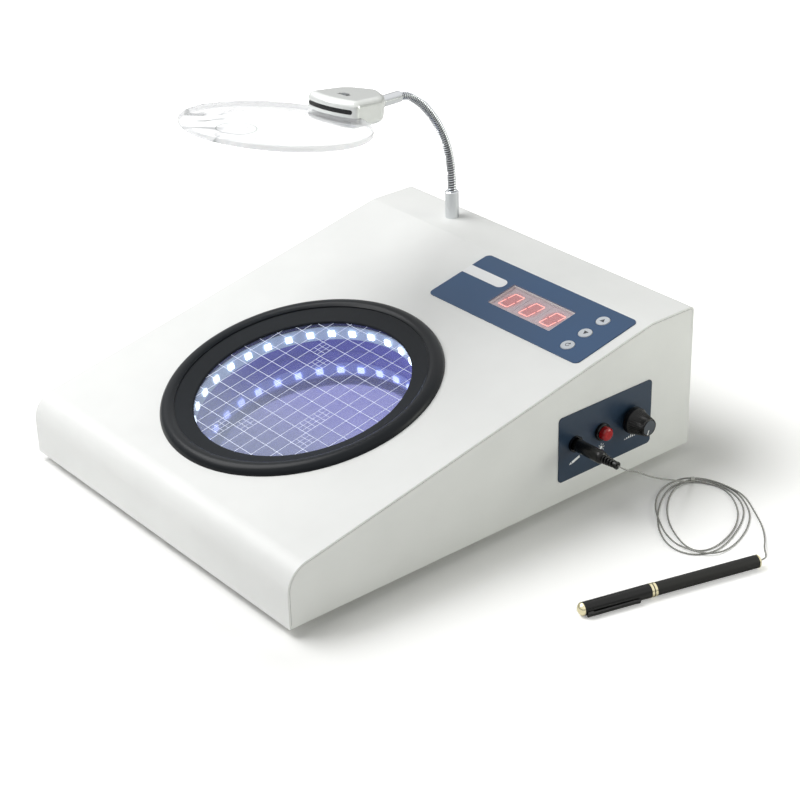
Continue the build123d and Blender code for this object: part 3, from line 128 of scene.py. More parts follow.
class FinishSettings(bpy.types.PropertyGroup):
    paint: colour_setting("Paint", "Powder coat of the housing", (0.925, 0.93, 0.922))
    film: colour_setting("Panel film", "Blue film of the display panel", (0.17, 0.285, 0.415))
    side_film: colour_setting("Side film", "Blue film beside the controls", (0.16, 0.225, 0.3))
    rubber: colour_setting("Dish ring", "Black moulding round the dish", (0.09, 0.102, 0.115))
    gold: colour_setting("Gold", "Plating of the pen's trims", (0.91, 0.875, 0.73))


class DishSettings(bpy.types.PropertyGroup):
    grid_pitch: FloatProperty(
        name="Grid pitch", description="Side of one square of the ruled grid", default=12.0 * MM, min=1 * MM,
        unit="LENGTH")
    line_width: FloatProperty(
        name="Line width", description="Width of a ruled line", default=0.3 * MM, min=0.05 * MM, unit="LENGTH")
    lamp_colour: colour_setting("Lamps", "Colour of the lamps round the well", (0.86, 0.93, 1.0))
    lamp_strength: FloatProperty(
        name="Lamp strength", description="Brightness of the lamps round the well", default=3.6, min=0)


class LeadSettings(bpy.types.PropertyGroup):
    diameter: FloatProperty(
        name="Lead diameter", description="Outside of the pen's lead", default=1.1 * MM, min=0.5 * MM, unit="LENGTH")
    length: FloatProperty(
        name="Lead length", description="Pen's lead from the plug's boot to the pen", default=0.921, min=0.1,
        unit="LENGTH")


class NeckSettings(bpy.types.PropertyGroup):
    wire: FloatProperty(
        name="Wire", description="Thickness of the gooseneck's wound wire", default=1.05 * MM, min=0.2 * MM,
        unit="LENGTH")
    winds: IntProperty(
        name="Winds", description="Turns of wire on each link of the gooseneck", default=7, min=2)


SETTINGS = {
    "counter_stage": StageSettings,
    "counter_finish": FinishSettings,
    "counter_dish": DishSettings,
    "counter_lead": LeadSettings,
    "counter_neck": NeckSettings,
}


# ------------------------------------------------------------------ materials
def tone(colour):
    """A colour as it looks, made ready for a shader's socket."""
    return (*Color(colour[:3]).from_srgb_to_scene_linear(), 1.0)


def build_group(name, inputs, outputs, build):
    """A shared effect: a shader node group with named sockets, made once."""
    tree = bpy.data.node_groups.get(name)
    if tree:
        return tree
    tree = bpy.data.node_groups.new(name, "ShaderNodeTree")
    for label, kind, value in inputs:
        socket = tree.interface.new_socket(name=label, in_out="INPUT", socket_type=kind)
        if value is not None:
            socket.default_value = value
    for label, kind in outputs:
        tree.interface.new_socket(name=label, in_out="OUTPUT", socket_type=kind)
    entry = tree.nodes.new("NodeGroupInput")
    leave = tree.nodes.new("NodeGroupOutput")
    build(tree, entry.outputs, leave.inputs)
    return tree


def add_node(tree, kind, inputs=None, **settings):
    """A node with its settings; each input takes a value or another node's output."""
    node = tree.nodes.new(kind)
    for key, value in settings.items():
        setattr(node, key, value)
    for key, value in (inputs or {}).items():
        give(tree, node, key, value)
    return node


def give(tree, node, key, value):
    """Links an output to a node's input, or sets the input's own value."""
    if isinstance(value, bpy.types.NodeSocket):
        tree.links.new(value, node.inputs[key])
    else:
        node.inputs[key].default_value = value


def calc(tree, operation, *values):
    """The result of a sum on plain numbers."""
    return add_node(tree, "ShaderNodeMath", dict(enumerate(values)), operation=operation).outputs["Value"]


def calc_vector(tree, operation, *values):
    """The result of a sum on vectors."""
    node = add_node(tree, "ShaderNodeVectorMath", dict(enumerate(values)), operation=operation)
    return node.outputs["Value" if operation in ("LENGTH", "DOT_PRODUCT") else "Vector"]


def span(tree, value, low, high, to_low=0.0, to_high=1.0, smooth=False):
    """A number carried from one range to another, and kept inside it."""
    inputs = {"Value": value, "From Min": low, "From Max": high, "To Min": to_low, "To Max": to_high}
    kind = "SMOOTHSTEP" if smooth else "LINEAR"
    return add_node(tree, "ShaderNodeMapRange", inputs, interpolation_type=kind).outputs["Result"]


def flat_reach(tree, vector):
    """Distance from the Z axis."""
    return calc_vector(tree, "LENGTH", calc_vector(tree, "MULTIPLY", vector, (1, 1, 0)))


def part_of(tree, vector, axis):
    """One coordinate of a vector."""
    return add_node(tree, "ShaderNodeSeparateXYZ", {"Vector": vector}).outputs[axis]


def grain_effect():
    """Fine moulded or sprayed grain: a height, and a mask of broad uneven patches."""
    def build(tree, given, result):
        fine = add_node(tree, "ShaderNodeTexNoise",
                        {"Vector": given["Vector"], "Scale": given["Scale"], "Detail": 3.0})
        broad = add_node(tree, "ShaderNodeTexNoise", {"Vector": given["Vector"], "Scale": 14.0, "Detail": 4.0})
        tree.links.new(fine.outputs["Fac"], result["Height"])
        tree.links.new(broad.outputs["Fac"], result["Patches"])
    return build_group(
        "Surface grain",
        [("Vector", "NodeSocketVector", None), ("Scale", "NodeSocketFloat", 900.0)],
        [("Height", "NodeSocketFloat"), ("Patches", "NodeSocketFloat")],
        build)


def tint_effect():
    """A base colour varied by a mask."""
    def build(tree, given, result):
        mix = add_node(tree, "ShaderNodeMix",
                       {"Factor": span(tree, given["Mask"], 0.3, 0.7), "A": given["Colour"],
                        "B": given["Worn colour"]}, data_type="RGBA")
        tree.links.new(mix.outputs["Result"], result["Colour"])
    return build_group(
        "Uneven tint",
        [("Mask", "NodeSocketFloat", 0.5), ("Colour", "NodeSocketColor", (0.8, 0.8, 0.8, 1)),
         ("Worn colour", "NodeSocketColor", (0.7, 0.7, 0.7, 1))],
        [("Colour", "NodeSocketColor")],
        build)


def gloss_effect():
    """Roughness between two values by a mask, such as handling marks on plastic."""
    def build(tree, given, result):
        rough = span(tree, given["Mask"], 0.35, 0.65, given["Smooth"], given["Rough"])
        tree.links.new(rough, result["Roughness"])
    return build_group(
        "Handled gloss",
        [("Mask", "NodeSocketFloat", 0.5), ("Smooth", "NodeSocketFloat", 0.2), ("Rough", "NodeSocketFloat", 0.3)],
        [("Roughness", "NodeSocketFloat")],
        build)


def lens_effect():
    """Masks of a lens in its own place for its painted grey lines and streaks: its edge and its insert's foot, and the
    end away from its head.
    """
    def build(tree, given, result):
        def ring(centre_x, radius, width):
            moved = calc_vector(tree, "SUBTRACT", given["Vector"], (centre_x, 0, 0))
            return calc(tree, "COMPARE", flat_reach(tree, moved), radius, width)

        edge = calc(tree, "MULTIPLY", ring(0, LENS_R - LENS_EDGE, LENS_EDGE), LENS_EDGE_SHADE)
        lines = calc(tree, "MAXIMUM", edge, ring(-INSERT_AT, INSERT_R, INSERT_LINE))
        tree.links.new(lines, result["Lines"])
        along = calc_vector(tree, "DOT_PRODUCT", given["Vector"], Vector(STREAK_SIDE).normalized())
        tree.links.new(span(tree, along, *STREAK_REACH, smooth=True), result["Outer end"])
    return build_group(
        "Lens marks", [("Vector", "NodeSocketVector", None)],
        [("Lines", "NodeSocketFloat"), ("Outer end", "NodeSocketFloat")],
        build)


class Finish:
    """A material, its shader, and the shared effects that feed it."""

    def __init__(self, name, colour, **sockets):
        self.material = bpy.data.materials.new(name)
        self.material.use_nodes = True
        self.tree = self.material.node_tree
        self.shader = self.tree.nodes["Principled BSDF"]
        self.colour = colour
        self.feed(self.shader, Base_Color=tone(colour), **sockets)

    def feed(self, node, **sockets):
        """Gives a node's inputs their values or links."""
        for key, value in sockets.items():
            give(self.tree, node, key.replace("_", " "), value)

    def place(self):
        return add_node(self.tree, "ShaderNodeTexCoord").outputs["Object"]

    def local(self, matrix):
        """Object coordinates seen from a piece's own place."""
        inputs = {"Vector": self.place(), "Location": matrix.translation, "Rotation": matrix.to_euler()}
        return add_node(self.tree, "ShaderNodeMapping", inputs, vector_type="TEXTURE").outputs["Vector"]

    def effect(self, tree, **values):
        node = add_node(self.tree, "ShaderNodeGroup", node_tree=tree)
        self.feed(node, **values)
        return node.outputs

    def tint(self, mask, colour, worn):
        """The base colour between two tones by a mask."""
        shade = self.effect(tint_effect(), Mask=mask, Colour=tone(colour), Worn_colour=tone(worn))
        self.feed(self.shader, Base_Color=shade["Colour"])

    def bump(self, height, strength, distance):
        node = add_node(self.tree, "ShaderNodeBump", {"Strength": strength, "Distance": distance, "Height": height})
        self.feed(self.shader, Normal=node.outputs["Normal"])

    def grain(self, scale, strength, distance=0.02 * MM, worn=None, gloss=None):
        """Adds grain; worn is the colour of its patches, gloss the two ends of its roughness."""
        marks = self.effect(grain_effect(), Vector=self.place(), Scale=scale)
        self.bump(marks["Height"], strength, distance)
        if worn:
            self.tint(marks["Patches"], self.colour, worn)
        if gloss:
            sheen = self.effect(gloss_effect(), Mask=marks["Patches"], Smooth=gloss[0], Rough=gloss[1])
            self.feed(self.shader, Roughness=sheen["Roughness"])
        return self


def dress(material, *nodes):
    """Gives CAD nodes their material."""
    for name in nodes:
        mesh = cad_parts[name].data
        mesh.materials.clear()
        mesh.materials.append(material)


def moulded(name, colour, worn, gloss=(0.34, 0.48), scale=1400.0, strength=0.25, shine=0.5):
    """Satin moulded plastic."""
    made = Finish(name, colour, Roughness=0.4, Specular_IOR_Level=shine)
    return made.grain(scale, strength, worn=worn, gloss=gloss).material


def plated(name, colour, gloss=(0.10, 0.2), scale=500.0, strength=0.05):
    """Bright plated metal."""
    return Finish(name, colour, Metallic=1.0, Roughness=0.15).grain(scale, strength, gloss=gloss).material


def printed(name, colour, roughness=0.45):
    """Ink on a film or a key."""
    return Finish(name, colour, Roughness=roughness).grain(2500.0, 0.1, distance=0.005 * MM).material


def shared(name, make, *values, **settings):
    """A material made once and used by several pieces."""
    return bpy.data.materials.get(name) or make(name, *values, **settings)


def white_ink():
    return shared("White ink", printed, (0.93, 0.935, 0.935))


# ------------------------------------------------------------------ meshes
SHARP_ANGLE = radians(35)


def piece(name, bm, material, body, transform=None):
    """Turns a bmesh into a piece of the counter that moves with a body."""
    if transform is not None:
        bm.transform(transform)
    mesh = bpy.data.meshes.new(name)
    bm.to_mesh(mesh)
    bm.free()
    mesh.materials.append(material)
    mesh.shade_smooth()
    mesh.set_sharp_from_angle(angle=SHARP_ANGLE)
    thing = bpy.data.objects.new(name, mesh)
    bpy.context.scene.collection.objects.link(thing)
    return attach(thing, body)


def turned(bm, profile, steps):
    """Spins a profile of (radius, height) points round the Z axis into a closed skin."""
    verts = [bm.verts.new((radius, 0, height)) for radius, height in profile]
    edges = [bm.edges.new(pair) for pair in zip(verts, verts[1:])]
    bmesh.ops.spin(bm, geom=verts + edges, cent=(0, 0, 0), axis=(0, 0, 1), angle=2 * pi, steps=steps,
                   use_merge=True)
    bmesh.ops.remove_doubles(bm, verts=bm.verts, dist=0.001 * MM)
    bmesh.ops.recalc_face_normals(bm, faces=bm.faces)


def wind(bm, radius, wire_r, pitch, turns, steps_per_turn, start=0.0):
    """A capped coil of wire about the Z axis."""
    steps = int(turns * steps_per_turn)
    ring = bmesh.ops.create_circle(bm, cap_ends=False, radius=wire_r, segments=8)["verts"]
    stand = Matrix.Translation((radius, 0, start)) @ Matrix.Rotation(pi / 2, 4, "X")
    bmesh.ops.transform(bm, matrix=stand, verts=ring)
    bmesh.ops.spin(bm, geom=bm.verts[:] + bm.edges[:], cent=(0, 0, 0), axis=(0, 0, 1), angle=2 * pi * turns,
                   dvec=(0, 0, pitch * turns / steps), steps=steps)
    bmesh.ops.holes_fill(bm, edges=bm.edges, sides=8)
    bmesh.ops.recalc_face_normals(bm, faces=bm.faces)


def add_disc(bm, radius, thickness, segments, centre=(0, 0)):
    """A flat round slab."""
    made = bmesh.ops.create_circle(bm, cap_ends=True, radius=radius, segments=segments)["verts"]
    bmesh.ops.translate(bm, verts=made, vec=(*centre, 0))
    thicken(bm, made, thickness)


def thicken(bm, verts, height):
    """Extrudes the flat faces of these points upwards into closed slabs."""
    faces = list({face for vert in verts for face in vert.link_faces})
    raised = bmesh.ops.extrude_face_region(bm, geom=faces, use_keep_orig=True)["geom"]
    tops = [item for item in raised if isinstance(item, bmesh.types.BMVert)]
    bmesh.ops.translate(bm, verts=tops, vec=(0, 0, height))
    sides = {face for top in tops for edge in top.link_edges for face in edge.link_faces}
    bmesh.ops.recalc_face_normals(bm, faces=list(sides | set(faces)))


def add_outline(bm, points, z, thickness):
    """A flat printed shape with this outline, raised by a thickness."""
    verts = [bm.verts.new((x, y, z)) for x, y in points]
    bm.faces.new(verts)
    thicken(bm, verts, thickness)


def add_bar(bm, start, end, width, z, thickness):
    """A straight printed stroke from start to end."""
    run = Vector(end) - Vector(start)
    across = Vector((-run.y, run.x)).normalized() * width / 2
    corners = [Vector(start) + across, Vector(start) - across, Vector(end) - across, Vector(end) + across]
    add_outline(bm, corners, z, thickness)


# ------------------------------------------------------------------ the pen's lead
def spot(x, y, z):
    """A point of the lead, from the housing's middle on the table, in millimetres."""
    return BODY_MID + Vector((x, y, z)) * MM


def lead_route():
    """The lead from its plug down to three loose turns, and on to the pen."""
    plug_end = Vector((plug_high.x, (plug_low.y + plug_high.y) / 2, (plug_low.z + plug_high.z) / 2))
    drop = [plug_end, plug_end + Vector((8 * MM, 0, 0))] + [spot(*point) for point in (
        (197.5, 67, 45), (198, 78, 37.5), (194.5, 91, 29.5), (189.5, 106, 20.5), (184.8, 121.5, 11.5),
        (181.3, 132.5, 5), (179.6, 137.6, 2.3), (179.2, 140.6, 1.5))]
    first_turn = [spot(*point) for point in (
        (181.6, 143, 1), (186.5, 146.4, 0.6), (193.5, 148.8, 0.6), (202.3, 148.6, 0.6), (214, 143, 0.6),
        (224.1, 135.1, 0.6), (232.1, 125.5, 0.6), (238.5, 114.4, 0.6), (242.7, 101.1, 0.6), (243.9, 90.6, 0.6),
        (242.4, 82.9, 0.6), (237.8, 78.6, 0.6), (230, 78.4, 0.6), (218.3, 82.7, 0.6), (205.7, 89.8, 0.6),
        (194.7, 99, 0.6), (186.2, 108.4, 0.6), (179, 119.5, 0.6), (176, 129, 0.8), (176.6, 136.2, 2.2),
        (178.7, 140.2, 2.65))]
    second_turn = [spot(*point) for point in (
        (181.4, 143.9, 2.5), (185.5, 147.4, 1.7), (193.5, 150.4, 0.8), (203.1, 150.6, 0.6), (214.6, 147, 0.6),
        (224.4, 140.2, 0.6), (232.2, 131, 0.6), (239.2, 118.3, 0.6), (244.8, 103.5, 0.6), (247.3, 91.5, 0.6),
        (246.2, 83.5, 0.6), (242.5, 76, 0.6), (236.7, 72, 0.6), (228.5, 70.2, 0.6), (217.5, 72.8, 0.6),
        (205.3, 80.2, 0.6), (194.9, 90, 0.6), (185.5, 101.3, 0.6), (177.4, 114.3, 0.6), (173.7, 125.8, 0.6),
        (174.6, 134.6, 0.9), (177.6, 141.1, 1.5))]
    third_turn = [spot(*point) for point in (
        (180, 145.6, 1.3), (184.3, 150, 0.7), (191.8, 152.9, 0.6), (203.1, 153.3, 0.6), (215, 149.6, 0.6),
        (228.9, 140.8, 0.6), (237.4, 131.4, 0.6), (245, 118.4, 0.6), (250.2, 103.7, 0.6), (251.4, 91.6, 0.9),
        (249, 83, 1.8), (243.5, 77.8, 2), (234.1, 75.3, 1.8), (223.8, 75.6, 0.7), (211.3, 79.8, 0.8),
        (203.5, 84, 1.8), (195.5, 89.4, 1.9), (186, 96.8, 1.8), (176.4, 108.3, 0.8), (170.6, 120.5, 0.6),
        (170.2, 130.1, 1), (172.9, 136.9, 2.2), (177.2, 141.6, 2.7))]
    tail = [spot(*point) for point in (
        (181, 145.4, 2.5), (186.5, 149.4, 2), (195.8, 151.8, 1.8), (203.5, 152.1, 1.8), (210.5, 151.9, 1.9),
        (219, 149.4, 1.8), (231, 142.8, 0.7), (247, 132.8, 0.7), (258.5, 122, 1.2), (267.5, 110.8, 2.8),
        (274.5, 104.5, 4.2))]
    tail += [PEN_REAR - pen_dir * 5 * MM, PEN_REAR]
    return drop + first_turn + second_turn + third_turn + tail


class LeadOperator(bpy.types.Operator):
    """Lay the pen's lead in its loose turns, with the tie that holds them and the plug"""
    bl_idname = "counter.lay_lead"
    bl_label = "Lay pen lead"

    def execute(self, context):
        sizes = context.scene.counter_lead
        points = lead_route()
        curve = bpy.data.curves.new("pen_lead", "CURVE")
        curve.dimensions = "3D"
        curve.bevel_depth = sizes.diameter / 2
        curve.bevel_resolution = 3
        curve.resolution_u = 8
        curve.use_fill_caps = True
        line = curve.splines.new("NURBS")
        line.points.add(len(points) - 1)
        for control, place in zip(line.points, points):
            control.co = (*place, 1)
        line.order_u = 3
        line.use_endpoint_u = True
        lead = bpy.data.objects.new("pen_lead", curve)
        context.scene.collection.objects.link(lead)
        curve.materials.append(lead_material())
        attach(lead, "pen_lead")
        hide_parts("cord_lead", "cord_coil", "cord_tail")
        handle = plug_piece()
        tie = tie_piece()
        return {"FINISHED"}


def lead_material():
    """Grey lead of fine twisted strands."""
    made = Finish("Twisted lead", (0.44, 0.44, 0.43), Roughness=0.45, Metallic=0.3)
    uv = add_node(made.tree, "ShaderNodeTexCoord").outputs["UV"]
    lay = add_node(made.tree, "ShaderNodeMapping", {"Vector": uv, "Scale": (420.0, 2.0, 1.0)}).outputs["Vector"]
    strands = add_node(made.tree, "ShaderNodeTexWave", {"Vector": lay, "Scale": 1.0},
                       wave_type="BANDS", bands_direction="DIAGONAL").outputs["Fac"]
    # The twist is real; its lighter crests and darker grooves are painted shade, following the bump.
    made.tint(strands, (0.70, 0.70, 0.68), (0.33, 0.33, 0.32))
    made.bump(strands, 0.6, 0.1 * MM)
    return made.material


PLUG_R = 4.4 * MM
PLUG_L = 24.0 * MM
BOOT_L = 13.0 * MM
BOOT_RIBS = 5


def plug_piece():
    """The plug's handle and its ribbed boot, turned as one moulding."""
    step = BOOT_L / (BOOT_RIBS * 2 + 2)
    profile = [(0, 0), (PLUG_R - 0.9 * MM, 0), (PLUG_R - 0.9 * MM, 0.9 * MM), (PLUG_R - 0.2 * MM, 1.0 * MM),
               (PLUG_R, 1.4 * MM), (PLUG_R, PLUG_L - 2.5 * MM), (PLUG_R - 0.3 * MM, PLUG_L - 0.8 * MM),
               (PLUG_R - 1.0 * MM, PLUG_L)]
    for rib in range(BOOT_RIBS):
        start = PLUG_L + step * (2 * rib + 0.4)
        outer = (3.3 - 0.22 * rib) * MM
        profile += [(outer - 0.8 * MM, start), (outer - 0.8 * MM, start + 0.6 * step),
                    (outer, start + 0.8 * step), (outer, start + 1.6 * step)]
    end = PLUG_L + BOOT_L
    profile += [(2.3 * MM, end - 1.4 * MM), (2.6 * MM, end - 1.1 * MM), (2.6 * MM, end - 0.2 * MM),
                (2.2 * MM, end), (0.8 * MM, end), (0.8 * MM, end - 0.5 * MM), (0, end - 0.5 * MM)]
    bm = bmesh.new()
    turned(bm, profile, steps=48)
    plug_start = Vector((plug_low.x, (plug_low.y + plug_high.y) / 2, (plug_low.z + plug_high.z) / 2))
    place = Matrix.Translation(plug_start) @ Matrix.Rotation(pi / 2, 4, "Y")
    skin = shared("Black plug", moulded, (0.035, 0.04, 0.04), (0.06, 0.06, 0.06), gloss=(0.22, 0.32), shine=0.3)
    made = piece("plug_moulding", bm, skin, "pen_lead", transform=place)
    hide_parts("plug_handle")
    return made


TIE_AT = (178.2, 140.7, 2.1)
TIE_ALONG = (0.63, 0.78, 0)
TIE_R = 1.72 * MM
TIE_WIRE_R = 0.32 * MM
TIE_WINDS = 4


def tie_piece():
    """A few winds of thin wire that pinch the turns together at one side."""
    pitch = TIE_WIRE_R * 2.05
    bm = bmesh.new()
    wind(bm, TIE_R, TIE_WIRE_R, pitch, TIE_WINDS, 24)
    along = Vector(TIE_ALONG).normalized()
    turn = Vector((0, 0, 1)).rotation_difference(along).to_matrix().to_4x4()
    place = Matrix.Translation(spot(*TIE_AT) - along * pitch * TIE_WINDS / 2) @ turn
    return piece("lead_tie", bm, bpy.data.materials["Twisted lead"], "pen_lead", transform=place)


# ------------------------------------------------------------------ the housing
COVER_T = 1.5 * MM
COVER_FRONT_R = 18.0 * MM
COVER_CREASE_R = 8.0 * MM
SEAM = 0.3 * MM         # gap between the cover and a side wall's top edge
SEAM_SLACK = 0.02 * MM
SEAM_LOW = 8.0 * MM
SEAM_BACK = 0.2 * MM
SEAM_DEEP = 0.9 * MM


class HousingOperator(bpy.types.Operator):
    """Give the housing its powder coat, and the tray, feet and screws their finishes"""
    bl_idname = "counter.finish_housing"
    bl_label = "Finish housing"

    def execute(self, context):
        paint = tuple(context.scene.counter_finish.paint)
        shade = tuple(level * 0.97 for level in paint)
        coat = Finish("Powder coat", paint, Roughness=0.42, Coat_Weight=0.12, Coat_Roughness=0.3)
        coat.grain(1100.0, 0.32, distance=0.03 * MM, worn=shade, gloss=(0.38, 0.5))
        dress(coat.material, "top_cover", "chassis_tray", "back_panel")
        lay_seams()
        rubber = moulded("Foot rubber", (0.1, 0.1, 0.1), (0.14, 0.14, 0.14), gloss=(0.6, 0.8), scale=600.0)
        dress(rubber, "feet")
        steel = plated("Screw steel", (0.72, 0.73, 0.74), gloss=(0.25, 0.4))
        dress(steel, "screws")
        board = Finish("Board lacquer", (0.06, 0.32, 0.2), Roughness=0.3, Coat_Weight=0.4)
        board.grain(300.0, 0.1, worn=(0.08, 0.38, 0.24), gloss=(0.25, 0.4))
        dress(board.material, "main_board", "power_supply", "display_board")
        spacer = plated("Spacer brass", (0.78, 0.66, 0.38), gloss=(0.25, 0.4))
        dress(spacer, "standoffs")
        dress(moulded("Switch black", (0.12, 0.12, 0.12), (0.16, 0.16, 0.16)), "key_switches")
        return {"FINISHED"}


def seam_line(inset):
    """The housing's outline seen from the right, this far under its skin."""
    depth = (cover_high.y - cover_low.y) / 2
    middle = (cover_high.y + cover_low.y) / 2
    shelf = cover_high.z
    front = FRONT_EDGE_Z + inset * (tan(SLOPE_ANGLE) - 1 / cos(SLOPE_ANGLE))
    crease = -depth + (shelf - FRONT_EDGE_Z - inset + inset / cos(SLOPE_ANGLE)) / tan(SLOPE_ANGLE)
    corners = [(-depth + inset, SEAM_LOW), (-depth + inset, front), (crease, shelf - inset),
               (depth - inset, shelf - inset)]
    radii = [0, COVER_FRONT_R - inset, COVER_CREASE_R, 0]
    points = []
    for number, (corner, radius) in enumerate(zip(corners, radii)):
        here = Vector(corner)
        if not radius:
            points.append(here)
            continue
        back = (Vector(corners[number - 1]) - here).normalized()
        ahead = (Vector(corners[number + 1]) - here).normalized()
        half = back.angle(ahead) / 2
        centre = here + (back + ahead).normalized() * radius / sin(half)
        start = here + back * radius / tan(half) - centre
        end = here + ahead * radius / tan(half) - centre
        points += [centre + start.normalized().slerp(end.normalized(), step / 10) * radius for step in range(11)]
    return [(point.x + middle, point.y) for point in points]


def lay_seams():
    """A dark strip in the gap between the cover and each side wall: painted shade for the open gap."""
    # The dark strip stands in for the shade in the open gap: painted shade.
    rubber = shared("Seam gasket", moulded, (0.16, 0.16, 0.16), (0.2, 0.2, 0.2), gloss=(0.6, 0.8))
    rows = list(zip(seam_line(COVER_T + SEAM_SLACK), seam_line(COVER_T + SEAM - SEAM_SLACK)))
    for side, edge in (("right", cover_high.x), ("left", cover_low.x)):
        inwards = -1 if side == "right" else 1
        near, far = edge + inwards * SEAM_BACK, edge + inwards * (SEAM_BACK + SEAM_DEEP)
        bm = bmesh.new()
        loops = [[bm.verts.new((x, *point)) for x, point in ((near, a), (near, b), (far, b), (far, a))]
                 for a, b in rows]
        for loop, after in zip(loops, loops[1:]):
            for corner in range(4):
                other = (corner + 1) % 4
                bm.faces.new((loop[corner], loop[other], after[other], after[corner]))
        bm.faces.new(loops[0])
        bm.faces.new(loops[-1])
        bmesh.ops.recalc_face_normals(bm, faces=bm.faces)
        piece(f"seam_{side}", bm, rubber, "root")


class RearOperator(bpy.types.Operator):
    """Give the mains inlet, its fuse drawer and the mains switch their plastics"""
    bl_idname = "counter.finish_rear"
    bl_label = "Finish rear connectors"

    def execute(self, context):
        body = moulded("Connector black", (0.09, 0.09, 0.095), (0.12, 0.12, 0.12), gloss=(0.3, 0.45))
        dress(body, "power_inlet", "fuse_drawer", "rocker_body")
        dress(moulded("Rocker black", (0.07, 0.07, 0.07), (0.1, 0.1, 0.1), gloss=(0.18, 0.3)), "rocker")
        return {"FINISHED"}


# ------------------------------------------------------------------ the dish well
WALL_FADE = (-9 * MM, -22 * MM)         # depths between which the wall turns from navy painted shade to violet painted lamplight
GLARE_FADE = (10 * MM, -60 * MM)         # from the dish's middle, where the glass turns greyer and less clear as a painted reflection
BEAD_START = (85.4 * MM, 86.2 * MM)     # radii between which the ring turns into its bead
GRID_R = 75.0 * MM
FINE_CELLS = ((-2, 3), (-1, 2), (3, -2), (3, -1), (4, -3), (-1, -5), (0, -4))
INK_T = 0.05 * MM
INK_STEP = 0.005 * MM   # crossing lines lie at two heights


class DishOperator(bpy.types.Operator):
    """Light the well, finish its ring and glass, and rule the grid on the glass"""
    bl_idname = "counter.light_dish"
    bl_label = "Light and rule dish well"

    def execute(self, context):
        sizes = context.scene.counter_dish
        self.finish_ring(tuple(context.scene.counter_finish.rubber))
        self.finish_glass()
        self.finish_wall()
        glow = tone(sizes.lamp_colour)
        # The strip's faint glow is painted light: only the lamps on it shine.
        strip = Finish("Lamp strip", (0.72, 0.79, 0.88), Roughness=0.3, Emission_Strength=0.22, Emission_Color=glow)
        strip.grain(400.0, 0.1, worn=(0.56, 0.64, 0.74), gloss=(0.25, 0.4))
        dress(strip.material, "led_strip")
        lamp = Finish("Lamp face", (1.0, 1.0, 1.0), Roughness=0.4, Emission_Strength=sizes.lamp_strength,
                      Emission_Color=glow)
        lamp.grain(900.0, 0.05)
        dress(lamp.material, "leds")
        # The mirror's faint violet glow is painted lamplight: the plate is no lamp.
        mirror = Finish("Well mirror", (0.6, 0.6, 0.82), Metallic=0.85, Roughness=0.08, Emission_Strength=0.12,
                        Emission_Color=tone((0.60, 0.58, 1.0)))
        mirror.grain(40.0, 0.02, worn=(0.56, 0.57, 0.78), gloss=(0.05, 0.12))
        dress(mirror.material, "mirror_plate")
        self.rule_grid(sizes)
        return {"FINISHED"}

    @staticmethod
    def finish_wall():
        """Navy painted shade above the lamps, and violet painted lamplight below them."""
        made = Finish("Well wall", (0.3, 0.3, 0.6), Roughness=0.45).grain(700.0, 0.15)
        depth = span(made.tree, part_of(made.tree, made.local(DISH), "Z"), *WALL_FADE)
        # Navy painted shade above the lamps fades into violet painted lamplight below them.
        made.tint(depth, (0.15, 0.14, 0.42), (0.46, 0.44, 0.82))
        dress(made.material, "light_well")

    @staticmethod
    def finish_glass():
        """Clear glass that turns greyer and less clear towards the operator's side, a painted reflection."""
        made = Finish("Grid glass", (0.60, 0.64, 0.70), Roughness=0.02, IOR=1.5).grain(60.0, 0.02)
        along = part_of(made.tree, made.place(), "Y")
        start, end = (DISH.translation.y + reach for reach in GLARE_FADE)
        # Alpha rises towards the operator: a painted reflection of the room on the glass.
        made.feed(made.shader, Alpha=span(made.tree, along, start, end, 0.12, 0.42, smooth=True))
        dress(made.material, "grid_glass")

    @staticmethod
    def finish_ring(colour):
        """Matt moulding whose outer bead is glossier."""
        worn = tuple(level * 1.15 for level in colour)
        made = Finish("Dish ring", colour, Specular_IOR_Level=0.16).grain(900.0, 0.3, 0.03 * MM, worn=worn)
        reach = flat_reach(made.tree, made.local(DISH))
        made.feed(made.shader, Roughness=span(made.tree, reach, *BEAD_START, 0.62, 0.3, smooth=True))
        dress(made.material, "dish_ring")

    @staticmethod
    def rule_grid(sizes):
        """Lines of white ink on the glass, with some squares ruled into nine."""
        bm = bmesh.new()
        pitch = sizes.grid_pitch
        top = -GLASS_DEPTH + 0.01 * MM
        lines = int(GRID_R / pitch)
        for number in range(-lines, lines):
            offset = (number + 0.5) * pitch
            half = sqrt(GRID_R**2 - offset**2)
            add_bar(bm, (offset, -half), (offset, half), sizes.line_width, top, INK_T)
            add_bar(bm, (-half, offset), (half, offset), sizes.line_width, top + INK_STEP, INK_T)
        fine = sizes.line_width * 0.7
        for column, row in FINE_CELLS:
            for third in (-1, 1):
                x, y = (column * pitch, row * pitch)
                shift = third * pitch / 6
                half = pitch / 2
                add_bar(bm, (x + shift, y - half), (x + shift, y + half), fine, top, INK_T)
                add_bar(bm, (x - half, y + shift), (x + half, y + shift), fine, top + INK_STEP, INK_T)
        # The ink's faint glow is painted light from the lamps round the well.
        ink = Finish("Grid ink", (0.93, 0.95, 1.0), Roughness=0.5, Emission_Strength=0.25,
                     Emission_Color=tone((0.8, 0.85, 1.0)))
        ink.grain(2000.0, 0.05)
        piece("grid_lines", bm, ink.material, "root", transform=DISH)


# ------------------------------------------------------------------ the display
PANEL_T = 0.6 * MM
DIGIT_H = 14.4 * MM
DIGIT_W = 8.6 * MM
DIGIT_LEAN = radians(10.0)
STROKE = 0.7 * MM
DIGIT_PITCH = 20.2 * MM
WINDOW = (64.7 * MM, 275.3 * MM)
MODULE_TOP = -1.7 * MM
KEY_X = 117.0 * MM
KEY_MARKS = {"key_up": 291.4 * MM, "key_down": 274.9 * MM, "key_reset": 258.6 * MM}
KEY_TOP = 1.0 * MM
TAG = (-10.2 * MM, 29.7 * MM, 278.9 * MM, 288.3 * MM)


